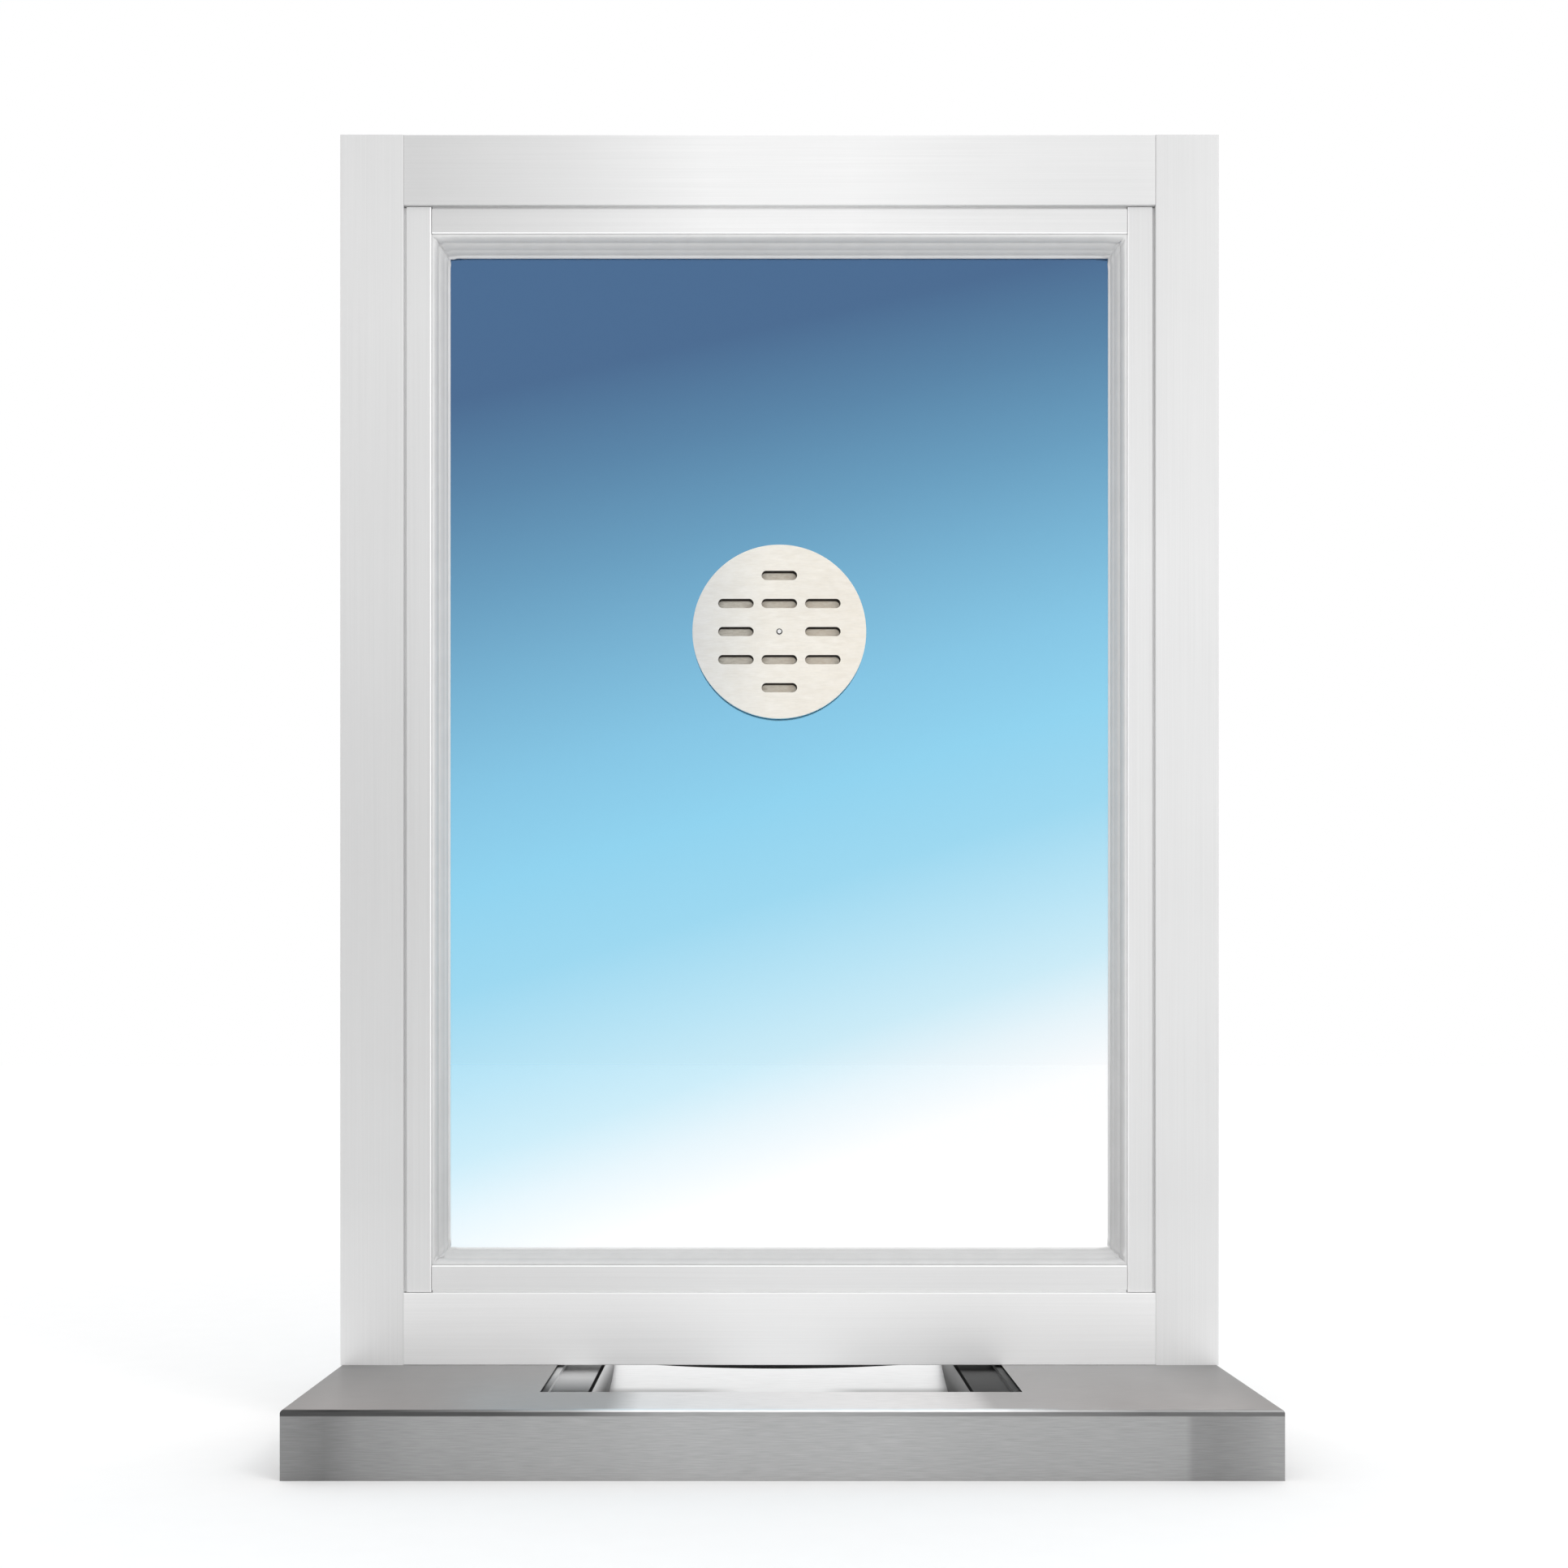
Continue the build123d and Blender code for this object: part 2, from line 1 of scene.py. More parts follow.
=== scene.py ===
# %% Load the construction
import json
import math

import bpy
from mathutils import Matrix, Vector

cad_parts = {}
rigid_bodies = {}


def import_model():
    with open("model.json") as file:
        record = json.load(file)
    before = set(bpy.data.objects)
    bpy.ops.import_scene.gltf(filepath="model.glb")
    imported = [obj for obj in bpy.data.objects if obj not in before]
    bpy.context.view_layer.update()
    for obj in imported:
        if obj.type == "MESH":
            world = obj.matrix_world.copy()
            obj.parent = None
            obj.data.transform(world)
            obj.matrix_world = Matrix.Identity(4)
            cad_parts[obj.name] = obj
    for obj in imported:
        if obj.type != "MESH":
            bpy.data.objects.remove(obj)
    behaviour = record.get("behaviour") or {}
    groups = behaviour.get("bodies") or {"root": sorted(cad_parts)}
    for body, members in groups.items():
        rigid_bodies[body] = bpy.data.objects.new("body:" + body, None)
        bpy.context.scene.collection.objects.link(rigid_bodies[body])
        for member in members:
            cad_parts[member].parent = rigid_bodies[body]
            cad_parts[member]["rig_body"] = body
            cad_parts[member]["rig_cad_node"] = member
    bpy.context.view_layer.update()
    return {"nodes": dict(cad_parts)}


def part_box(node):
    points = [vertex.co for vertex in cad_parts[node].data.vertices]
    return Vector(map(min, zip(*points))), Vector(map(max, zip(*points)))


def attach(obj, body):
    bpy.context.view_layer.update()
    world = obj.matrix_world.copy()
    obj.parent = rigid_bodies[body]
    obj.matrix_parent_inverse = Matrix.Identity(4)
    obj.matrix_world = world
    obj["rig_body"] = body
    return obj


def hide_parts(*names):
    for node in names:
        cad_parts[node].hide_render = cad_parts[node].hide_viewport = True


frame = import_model()

# %% [markdown]
# This lesson dresses a ticket window. Its solids come with their real sizes, in metres: hollow
# aluminium bars, snap-in stops, a pane, a slotted speak-through and a folded steel shelf with a tray.
# What is left to do here is what makes them look real: the finish of each metal, the fine edges that
# catch the light, the tint of the glass, the soft gasket that is pushed round the corners, and the
# light. Nothing here moves or resizes a solid. Each step says first what the real piece is, then how
# it could be made, and why one way was chosen.

BODY = "root"
MM = 0.001
solids = frame["nodes"]

# %% [markdown]
# The photograph looks straight at the window, from a little above the shelf. A camera could be
# pitched down to take the shelf in, but then the jambs would lean together. A studio camera keeps
# its back upright and shifts its lens, and this one does the same: it looks level, and the shift
# moves the frame up. Its place is worked out from pixels of the picture, which is 1932 pixels wide:
# the shelf's front edge looks larger than the frame by as much as it is nearer, which gives the
# distance.

# %% Camera
PHOTO_SIDE = 1932.0
FRAME_LEFT_PIXEL = 419.0
FRAME_RIGHT_PIXEL = 1502.0
FRAME_FOOT_PIXEL = 1682.0
SHELF_LEFT_PIXEL = 344.0
SHELF_RIGHT_PIXEL = 1583.0
VANISHING_X_PIXEL = 936.0
HORIZON_PIXEL = 1300.0
SENSOR = 36.0

jamb_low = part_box("left_jamb")[0]
shelf_low, shelf_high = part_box("shelf_pan")
face_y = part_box("head_rail")[0].y
frame_width = -2 * jamb_low.x
pixels_per_metre = (FRAME_RIGHT_PIXEL - FRAME_LEFT_PIXEL) / frame_width
frame_middle_pixel = (FRAME_LEFT_PIXEL + FRAME_RIGHT_PIXEL) / 2
nearer = (SHELF_RIGHT_PIXEL - SHELF_LEFT_PIXEL) / (FRAME_RIGHT_PIXEL - FRAME_LEFT_PIXEL)
camera_distance = (face_y - shelf_low.y) * nearer / (nearer - 1)

camera_data = bpy.data.cameras.new("view_camera")
camera = bpy.data.objects.new("view_camera", camera_data)
bpy.context.scene.collection.objects.link(camera)
camera.location = (
    (VANISHING_X_PIXEL - frame_middle_pixel) / pixels_per_metre,
    face_y - camera_distance,
    jamb_low.z + (FRAME_FOOT_PIXEL - HORIZON_PIXEL) / pixels_per_metre,
)
camera.rotation_euler = (math.radians(90), 0, 0)
camera_data.sensor_width = SENSOR
camera_data.lens = pixels_per_metre * camera_distance / PHOTO_SIDE * SENSOR
camera_data.shift_x = (PHOTO_SIDE / 2 - VANISHING_X_PIXEL) / PHOTO_SIDE
camera_data.shift_y = (HORIZON_PIXEL - PHOTO_SIDE / 2) / PHOTO_SIDE
camera_data.clip_start = 0.05
camera_data.clip_end = 200
bpy.context.scene.camera = camera
print("camera at", [round(v, 4) for v in camera.location], "lens", round(camera_data.lens, 2))

# %% [markdown]
# The window stands on a plain pale floor that runs into a white surround. A curved paper backdrop
# would be the studio way, but it would block the views from behind. So the floor is a wide disc, and
# the surround is the world's own light.

# %% Floor
FLOOR_RADIUS = 60.0

bpy.ops.object.select_all(action="DESELECT")
bpy.ops.mesh.primitive_circle_add(vertices=128, radius=FLOOR_RADIUS, fill_type="NGON", location=(0, 0, 0))
floor = bpy.context.object
floor.name = "studio_floor"
print("floor radius:", FLOOR_RADIUS, "m")

# %% [markdown]
# Materials are small node networks. Every one starts from the same few moves, so these are helpers:
# one makes a material with its shader, one adds a node and sets its values, and the others do one
# sum or one blend. All patterns read Object coordinates, in metres, so that they keep their real
# scale on every piece. A noise seldom leaves the middle of its range, so two ranges say what part of
# it is stretched to the full one.

# %% Material helpers
NOISE_RANGE = (0.3, 0.7)
CLOUD_RANGE = (0.35, 0.65)


def make_material(name, **values):
    """A material with one Principled shader, whose plain values are set on its own sockets."""
    material = bpy.data.materials.new(name)
    material.use_nodes = True
    tree = material.node_tree
    shader = tree.nodes["Principled BSDF"]
    for socket, value in values.items():
        shader.inputs[socket.replace("_", " ")].default_value = value
    return material, tree, shader


def add(tree, kind, inputs=None, **settings):
    """A node with its settings, and with values or links on its inputs."""
    new = tree.nodes.new(kind)
    for key, value in settings.items():
        setattr(new, key, value)
    for key, value in (inputs or {}).items():
        if isinstance(value, bpy.types.NodeSocket):
            tree.links.new(value, new.inputs[key])
        else:
            new.inputs[key].default_value = value
    return new


def object_place(tree, scale=(1, 1, 1)):
    """Object coordinates, stretched by a Mapping node."""
    place = add(tree, "ShaderNodeTexCoord").outputs["Object"]
    return add(tree, "ShaderNodeMapping", {"Vector": place, "Scale": scale}).outputs["Vector"]


def split(tree, vector):
    """The X, Y and Z of a vector."""
    return add(tree, "ShaderNodeSeparateXYZ", {0: vector}).outputs


def noise(tree, place, scale, detail=3.0, roughness=0.5):
    """A noise value from 0 to 1."""
    inputs = {"Vector": place, "Scale": scale, "Detail": detail, "Roughness": roughness}
    return add(tree, "ShaderNodeTexNoise", inputs).outputs["Fac"]


def spread(tree, value, low, high, to_low=0.0, to_high=1.0):
    """Stretches a value's range, clamped at both ends."""
    inputs = {"Value": value, "From Min": low, "From Max": high, "To Min": to_low, "To Max": to_high}
    return add(tree, "ShaderNodeMapRange", inputs).outputs["Result"]


def blend(tree, factor, first, second, mode="MIX"):
    """Mixes two colours by a value."""
    new = tree.nodes.new("ShaderNodeMix")
    new.data_type = "RGBA"
    new.blend_type = mode
    for index, value in ((0, factor), (6, first), (7, second)):
        if isinstance(value, bpy.types.NodeSocket):
            tree.links.new(value, new.inputs[index])
        else:
            new.inputs[index].default_value = value
    return new.outputs[2]


def sum_of(tree, operation, first, second=0.0):
    """One sum on values."""
    return add(tree, "ShaderNodeMath", {0: first, 1: second}, operation=operation).outputs[0]


def colour_run(tree, value, stops):
    """Colours at places along a value, blended between them; stops is a row of (place, colour)."""
    low, high = stops[0][0], stops[-1][0]
    ramp = add(tree, "ShaderNodeValToRGB", {"Fac": spread(tree, value, low, high)})
    elements = ramp.color_ramp.elements
    elements[0].color = stops[0][1]
    elements[-1].color = stops[-1][1]
    for place, colour in stops[1:-1]:
        elements.new((place - low) / (high - low)).color = colour
    return ramp.outputs["Color"]


def tone_run(tree, value, stops):
    """The same with greys; stops is a row of (place, tone)."""
    return colour_run(tree, value, [(place, grey(tone)) for place, tone in stops])


def object_normal(tree):
    """The X, Y and Z of the surface's direction in the object's own axes."""
    return split(tree, add(tree, "ShaderNodeTexCoord").outputs["Normal"])


def bump(tree, shader, height, distance, strength=1.0):
    """Small relief from a height value, with its depth in metres."""
    inputs = {"Height": height, "Distance": distance, "Strength": strength}
    relief = add(tree, "ShaderNodeBump", inputs)
    tree.links.new(relief.outputs["Normal"], shader.inputs["Normal"])


def grey(value, warm=0.0):
    """A grey with a touch of warmth, as a colour with alpha."""
    return (value * (1 + warm), value, value * (1 - warm), 1.0)


# %% [markdown]
# The bars are satin anodised aluminium. The surface is nearly white, with fine drawing lines along
# the bar that only show where light falls across them. A noise that is 180 times as long as it is
# wide gives such lines. The same recipe with another direction serves uprights and rails, so the
# stretch is an argument. A run of tones along each bar is painted light and shade: lighter where more
# light falls on it, as in the middle of the head rail, and darker where less does. A thin clear coat
# stands for the sealed oxide.

# %% Satin aluminium
LINE_STRETCH = 5.0
LINE_FINENESS = 900.0
# Painted light and shade along the head, the sill, the sill stop and both jambs.
HEAD_TONES = ((-0.31, 0.64), (-0.18, 0.74), (-0.06, 0.87), (0.06, 0.87), (0.19, 0.77), (0.31, 0.69))
SILL_TONES = ((-0.31, 0.93), (-0.10, 0.97), (0.10, 0.99), (0.31, 0.97))
LOW_STOP_TONES = ((-0.28, 0.79), (-0.10, 0.84), (0.10, 0.87), (0.28, 0.86))
LEFT_TONES = (
    (0.07, 0.88), (0.11, 0.80), (0.20, 0.71), (0.32, 0.67),
    (0.53, 0.65), (0.75, 0.70), (0.96, 0.73), (1.10, 0.72),
)
RIGHT_TONES = (
    (0.07, 0.92), (0.11, 0.84), (0.20, 0.77), (0.32, 0.76),
    (0.53, 0.77), (0.75, 0.77), (0.96, 0.69), (1.10, 0.65),
)
CLIP_TONES = ((-0.03, 0.60), (0.03, 0.62))


def satin_aluminium(name, along, tones):
    """Anodised aluminium with drawing lines and a run of tones along one axis."""
    material, tree, shader = make_material(
        name, Metallic=0.3, Roughness=0.42, IOR=1.5, Coat_Weight=0.25, Coat_Roughness=0.18
    )
    scale = [LINE_FINENESS] * 3
    scale["XYZ".index(along)] = LINE_STRETCH
    lines = noise(tree, object_place(tree, scale), 1.0, detail=2.0)
    cloud = noise(tree, object_place(tree), 7.0, detail=2.0)
    body = tone_run(tree, split(tree, object_place(tree))[along], tones)
    fine = blend(tree, spread(tree, lines, *NOISE_RANGE), grey(0.965), grey(1.005))
    soft = blend(tree, spread(tree, cloud, *CLOUD_RANGE), grey(0.985), grey(1.0))
    body = blend(tree, 1.0, blend(tree, 1.0, body, fine, "MULTIPLY"), soft, "MULTIPLY")
    tree.links.new(body, shader.inputs["Base Color"])
    tree.links.new(spread(tree, lines, *NOISE_RANGE, 0.36, 0.46), shader.inputs["Roughness"])
    bump(tree, shader, lines, 0.00002, 0.25)
    return material, tree, shader, body


left_aluminium = satin_aluminium("satin_left_jamb", "Z", LEFT_TONES)[0]
right_aluminium = satin_aluminium("satin_right_jamb", "Z", RIGHT_TONES)[0]
head_aluminium = satin_aluminium("satin_head_rail", "X", HEAD_TONES)[0]
sill_aluminium = satin_aluminium("satin_sill_rail", "X", SILL_TONES)[0]
clip_aluminium = satin_aluminium("mill_aluminium", "Y", CLIP_TONES)[0]
print("bars:", [bar.name for bar in (left_aluminium, right_aluminium, head_aluminium, sill_aluminium)])

# %% [markdown]
# The stops are the same aluminium, with a painted highlight on their rounded inner edge: a white
# line round the glass where the edge catches the light. The surface's own direction finds that edge:
# only there does it point both forwards and inwards.

# %% Stops with a painted edge highlight
# Painted highlight on the stops' rounded inner edge.
EDGE_HIGHLIGHT = grey(1.0)
TURNS_INWARD = (0.12, 0.35)
STILL_FORWARD = (0.25, 0.5)


def stop_aluminium(name, along, tones):
    """The bars' finish, with a painted highlight where the surface turns inwards."""
    material, tree, shader, body = satin_aluminium(name, along, tones)
    facing = object_normal(tree)
    inward = facing["X" if along == "Z" else "Z"]
    forward = sum_of(tree, "ABSOLUTE", facing["Y"])
    turned = spread(tree, sum_of(tree, "ABSOLUTE", inward), *TURNS_INWARD)
    turned = sum_of(tree, "MULTIPLY", turned, spread(tree, forward, *STILL_FORWARD))
    tree.links.new(blend(tree, turned, body, EDGE_HIGHLIGHT), shader.inputs["Base Color"])
    return material


left_stop = stop_aluminium("satin_left_stop", "Z", LEFT_TONES)
right_stop = stop_aluminium("satin_right_stop", "Z", RIGHT_TONES)
head_stop = stop_aluminium("satin_head_stop", "X", HEAD_TONES)
sill_stop = stop_aluminium("satin_sill_stop", "X", LOW_STOP_TONES)
print("stops:", [stop.name for stop in (left_stop, right_stop, head_stop, sill_stop)])

# %% [markdown]
# The shelf, the tray and the speak plates are brushed stainless steel. Brushing leaves short
# scratches along the sheet and spreads reflections across them. Anisotropy on the shader does the
# spreading. Its tangent follows the scratches, along X on the top and the front and along Y on the
# short ends, and a quarter turn puts the spread across them. The noise gives the scratches
# themselves, as a colour, a roughness and a small relief.

# %% Brushed steel
SCRATCH_STRETCH = 55.0
SCRATCH_FINENESS = 1500.0
END_TURN = 0.7


def brushed_steel(name, tone, warm=0.0, anisotropic=0.8, contrast=0.1, roughness=0.24, relief=0.3,
                  stretch=SCRATCH_STRETCH):
    """Stainless steel with scratches along the sheet; returns its tree, shader and colour too, for painted
    light and shade.
    """
    material, tree, shader = make_material(
        name, Metallic=1.0, Anisotropic=anisotropic, Anisotropic_Rotation=0.25
    )
    is_end = sum_of(tree, "GREATER_THAN", sum_of(tree, "ABSOLUTE", object_normal(tree)["X"]), END_TURN)
    not_end = sum_of(tree, "SUBTRACT", 1.0, is_end)
    fine = SCRATCH_FINENESS
    along_x = noise(tree, object_place(tree, (stretch, fine, fine)), 1.0, detail=4.0)
    along_y = noise(tree, object_place(tree, (fine, stretch, fine)), 1.0, detail=4.0)
    shown_x = sum_of(tree, "MULTIPLY", along_x, not_end)
    scratches = sum_of(tree, "ADD", shown_x, sum_of(tree, "MULTIPLY", along_y, is_end))
    tangent = add(tree, "ShaderNodeCombineXYZ", {"X": not_end, "Y": is_end}).outputs[0]
    tree.links.new(tangent, shader.inputs["Tangent"])
    cloud = noise(tree, object_place(tree, (1, 2, 2)), 9.0, detail=3.0)
    dark = grey(tone * (1 - contrast), warm)
    light = grey(tone * (1 + contrast), warm)
    body = blend(tree, spread(tree, scratches, *NOISE_RANGE), dark, light)
    soft = blend(tree, spread(tree, cloud, *NOISE_RANGE), grey(0.96), grey(1.0))
    colour = blend(tree, 1.0, body, soft, "MULTIPLY")
    tree.links.new(colour, shader.inputs["Base Color"])
    rough = spread(tree, scratches, *NOISE_RANGE, roughness - 0.04, roughness + 0.05)
    tree.links.new(rough, shader.inputs["Roughness"])
    bump(tree, shader, scratches, 0.00002, relief)
    return material, tree, shader, colour


fastener_steel = brushed_steel("zinc_fastener", 0.66, contrast=0.04, anisotropic=0.0, roughness=0.28)[0]
# The rivet round the centre pin is painted near black: painted shade for the dark hole round the pin.
rivet_steel = brushed_steel("rivet_painted_shade", 0.06, contrast=0.04, anisotropic=0.0, roughness=0.5)[0]
pin_steel = brushed_steel("bright_pin", 0.95, contrast=0.04, anisotropic=0.0, roughness=0.3)[0]
print("small steels:", [steel.name for steel in (fastener_steel, rivet_steel, pin_steel)])

# %% [markdown]
# The speak plates are the same steel with a warmer cast. Their scratches are shorter, and between
# them lies a mottling from the rolling. Across the plate a run of casts paints light and shade: cooler
# and darker on the left, where less light falls. The upper and right walls of the punched slots turn
# away from the light and stay dark, and the surface's direction finds them.

# %% Speak plates
# Painted shade across the plate: cooler and darker towards the left.
PLATE_CASTS = (
    (-0.076, (0.80, 0.82, 0.83, 1)), (-0.045, (0.89, 0.90, 0.88, 1)), (-0.010, (0.99, 0.98, 0.93, 1)),
    (0.030, (1.00, 0.98, 0.92, 1)), (0.076, (1.00, 0.97, 0.90, 1)),
)
WALL_DARK = grey(0.03)
WALL_RADIUS = 72 * MM
WALL_TURN = (-0.7, -0.4)
MOTTLE_COLOUR = (0.94, 0.93, 0.91, 1)

speak_steel, plate_tree, plate_shader, plate_colour = brushed_steel(
    "warm_brushed_plate", 0.97, warm=0.02, contrast=0.03, roughness=0.40, stretch=150.0
)
plate_place = split(plate_tree, object_place(plate_tree))
cast = colour_run(plate_tree, plate_place["X"], PLATE_CASTS)
rolled = noise(plate_tree, object_place(plate_tree, (90, 90, 220)), 1.0, detail=4.0, roughness=0.6)
mottling = blend(plate_tree, spread(plate_tree, rolled, *NOISE_RANGE), MOTTLE_COLOUR, (1, 1, 1, 1))
plate_mix = blend(plate_tree, 1.0, plate_colour, cast, "MULTIPLY")
plate_mix = blend(plate_tree, 1.0, plate_mix, mottling, "MULTIPLY")
plate_low, plate_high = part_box("speak_plate_front")
rise = sum_of(plate_tree, "SUBTRACT", plate_place["Z"], (plate_low.z + plate_high.z) / 2)
square = sum_of(plate_tree, "MULTIPLY", rise, rise)
square = sum_of(plate_tree, "ADD", square, sum_of(plate_tree, "MULTIPLY", plate_place["X"], plate_place["X"]))
inside = sum_of(plate_tree, "LESS_THAN", sum_of(plate_tree, "SQRT", square), WALL_RADIUS)
plate_facing = object_normal(plate_tree)
lowest = sum_of(plate_tree, "MINIMUM", plate_facing["Z"], plate_facing["X"])
away = spread(plate_tree, lowest, *WALL_TURN, 1.0, 0.0)
plate_mix = blend(plate_tree, sum_of(plate_tree, "MULTIPLY", inside, away), plate_mix, WALL_DARK)
plate_tree.links.new(plate_mix, plate_shader.inputs["Base Color"])
print("plate nodes:", len(plate_tree.nodes))

# %% [markdown]
# The shelf's tones are painted reflections and shade. Its front is painted brightest in the middle
# and dark towards both ends, and the top has a painted bright reflection in front of the tray, with a
# sharper left side than right; the top is also warmer towards the front. The fold along the front
# edge gets a painted highlight on its upper half across that bright reflection, and a painted dark
# line of shade below it. Three runs of tones along X say this for the front, the top and the fold, one
# more for the line below the fold, and the surface's direction says which one counts. A dull metal
# also mirrors less at a flat angle, which is the shader's tint towards the edge. The cut edges of the
# opening in the top are painted black as shade.

# %% Shelf steel with painted reflections and shade
# Painted reflections along the front, the top and the fold; painted shade in the line below the fold.
FRONT_TONES = (
    (-0.380, 0.31), (-0.347, 0.26), (-0.322, 0.355), (-0.273, 0.425), (-0.224, 0.445), (-0.070, 0.54),
    (0.084, 0.54), (0.145, 0.50), (0.280, 0.455), (0.306, 0.44), (0.312, 0.33), (0.330, 0.32),
    (0.354, 0.36), (0.373, 0.41),
)
TOP_TONES = (
    (-0.375, 0.38), (-0.330, 0.46), (-0.230, 0.52), (-0.135, 0.53), (-0.110, 0.98), (0.060, 1.00),
    (0.120, 0.95), (0.149, 0.81), (0.163, 0.56), (0.320, 0.52), (0.372, 0.40),
)
FOLD_TONES = (
    (-0.380, 0.08), (-0.340, 0.05), (-0.300, 0.09), (-0.220, 0.24), (-0.160, 0.50), (-0.110, 1.0),
    (0.150, 1.0), (0.215, 0.50), (0.280, 0.30), (0.380, 0.32),
)
SHADE_TONES = (
    (-0.380, 0.09), (-0.220, 0.11), (-0.160, 0.18), (-0.090, 0.45), (0.000, 0.50), (0.120, 0.36),
    (0.280, 0.18), (0.380, 0.20),
)
TOP_CASTS = ((-0.23, (1.0, 0.953, 0.935, 1)), (-0.14, (1.0, 0.968, 0.955, 1)), (-0.03, (1.0, 0.99, 0.985, 1)))
# Painted shade on the cut edges of the opening in the top.
CUT_EDGE_SHADE = grey(0.01)
FOLD_ONTO_TOP = 5 * MM
SHADE_ONTO_FRONT = 4.6 * MM
LINE_BLUR = 0.8 * MM
TOP_TURN = (0.90, 0.97)
FOLD_TURN = (0.36, 0.46)
CUT_TURN = 0.8
CUT_REACH = 0.25
SHELF_FLAT_TINT = 0.6


def link_painted_light(tree, shader, colour, painted_light, flat_tint):
    """Darkens a steel by its painted light and shade, also where it is seen at a flat angle."""
    tree.links.new(blend(tree, 1.0, colour, painted_light, "MULTIPLY"), shader.inputs["Base Color"])
    tree.links.new(spread(tree, painted_light, 0.0, 1.0, flat_tint, 1.0), shader.inputs["Specular Tint"])


shelf_steel, shelf_tree, shelf_shader, shelf_colour = brushed_steel(
    "brushed_shelf_steel", 0.90, anisotropic=0.6, contrast=0.11, roughness=0.40, relief=0.5
)
shelf_place = split(shelf_tree, object_place(shelf_tree))
along = shelf_place["X"]
facing = object_normal(shelf_tree)
is_top = spread(shelf_tree, facing["Z"], *TOP_TURN)
is_fold = spread(shelf_tree, facing["Z"], *FOLD_TURN)
top_edge = shelf_high.z - SHADE_ONTO_FRONT
is_shade = spread(shelf_tree, shelf_place["Z"], top_edge - LINE_BLUR, top_edge)
front_edge = shelf_low.y + FOLD_ONTO_TOP
at_front = spread(shelf_tree, shelf_place["Y"], front_edge - LINE_BLUR, front_edge, 1.0, 0.0)
fold = tone_run(shelf_tree, along, FOLD_TONES)
top_cast = colour_run(shelf_tree, shelf_place["Y"], TOP_CASTS)
top = blend(shelf_tree, 1.0, tone_run(shelf_tree, along, TOP_TONES), top_cast, "MULTIPLY")
top = blend(shelf_tree, at_front, top, fold, "LIGHTEN")
painted_light = tone_run(shelf_tree, along, FRONT_TONES)
painted_light = blend(shelf_tree, is_shade, painted_light, tone_run(shelf_tree, along, SHADE_TONES))
painted_light = blend(shelf_tree, is_fold, painted_light, fold)
painted_light = blend(shelf_tree, is_top, painted_light, top)
is_cut = sum_of(shelf_tree, "GREATER_THAN", sum_of(shelf_tree, "ABSOLUTE", facing["X"]), CUT_TURN)
near = sum_of(shelf_tree, "LESS_THAN", sum_of(shelf_tree, "ABSOLUTE", along), CUT_REACH)
painted_light = blend(shelf_tree, sum_of(shelf_tree, "MULTIPLY", is_cut, near), painted_light, CUT_EDGE_SHADE)
link_painted_light(shelf_tree, shelf_shader, shelf_colour, painted_light, SHELF_FLAT_TINT)
print("shelf nodes:", len(shelf_tree.nodes))

# %% [markdown]
# The tray's tones are painted reflections and shade. The scoop is nearly white. The left ledge is
# painted dark in front and lighter behind, the right one dark all along, and both end walls are painted
# to fade downwards, the left lighter than the right. Near the end walls the scoop is painted darker,
# except at its back. The folds beside the ledges get a painted dark line of shade. Under the sill a thin
# painted dark crescent of shade lies on the scoop: its border is a parabola across the tray.

# %% Tray steel with painted reflections and shade
# Painted reflections and shade on the ledges, the end walls and the scoop beside them.
LEDGE_LEFT_TONES = ((-0.156, 0.14), (-0.130, 0.22), (-0.110, 0.42), (-0.060, 0.80), (0.156, 0.70))
LEDGE_RIGHT_TONES = ((-0.156, 0.14), (-0.030, 0.24), (0.156, 0.30))
WALL_LEFT_TONES = ((0.028, 0.30), (0.036, 0.55), (0.046, 0.92))
WALL_RIGHT_TONES = ((0.028, 0.20), (0.036, 0.32), (0.046, 0.42))
SCOOP_TONE = grey(0.86)
BOTTOM_TONES = ((0.040, 0.45), (0.050, 0.58), (0.060, 0.86))
FOLD_DARK = grey(0.04)
FOLD_LINE = 3.4 * MM
FOLD_BLUR = 0.4 * MM
WELL_SEAM = 0.2 * MM
MIDDLE_BLUR = 20 * MM
TO_END = (0.035, 0.075)
END_WALL_TURN = (0.70, 0.85)
TRAY_FLAT_TINT = 0.2
# Painted shade: the dark crescent on the scoop under the sill.
CRESCENT_TONE = grey(0.03)
CRESCENT_START = 0.1000
CRESCENT_END = 0.1095
CRESCENT_BOW = 0.0095
CRESCENT_HALF = 0.135

well_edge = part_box("tray_scoop")[1].x
tray_steel, tray_tree, tray_shader, tray_colour = brushed_steel(
    "tray_steel_painted_light", 0.94, contrast=0.06, anisotropic=0.3, roughness=0.42, relief=0.2
)
tray_place = split(tray_tree, object_place(tray_tree))
tray_facing = object_normal(tray_tree)
to_right = spread(tray_tree, tray_place["X"], -MIDDLE_BLUR, MIDDLE_BLUR)
sideways = sum_of(tray_tree, "ABSOLUTE", tray_place["X"])
beside_well = spread(tray_tree, sideways, well_edge + WELL_SEAM, well_edge + 2 * WELL_SEAM)
ledge = blend(
    tray_tree,
    to_right,
    tone_run(tray_tree, tray_place["Y"], LEDGE_LEFT_TONES),
    tone_run(tray_tree, tray_place["Y"], LEDGE_RIGHT_TONES),
)
wall = blend(
    tray_tree,
    to_right,
    tone_run(tray_tree, tray_place["Z"], WALL_LEFT_TONES),
    tone_run(tray_tree, tray_place["Z"], WALL_RIGHT_TONES),
)
fold_end = well_edge + FOLD_LINE
past_fold = spread(tray_tree, sideways, fold_end - FOLD_BLUR, fold_end)
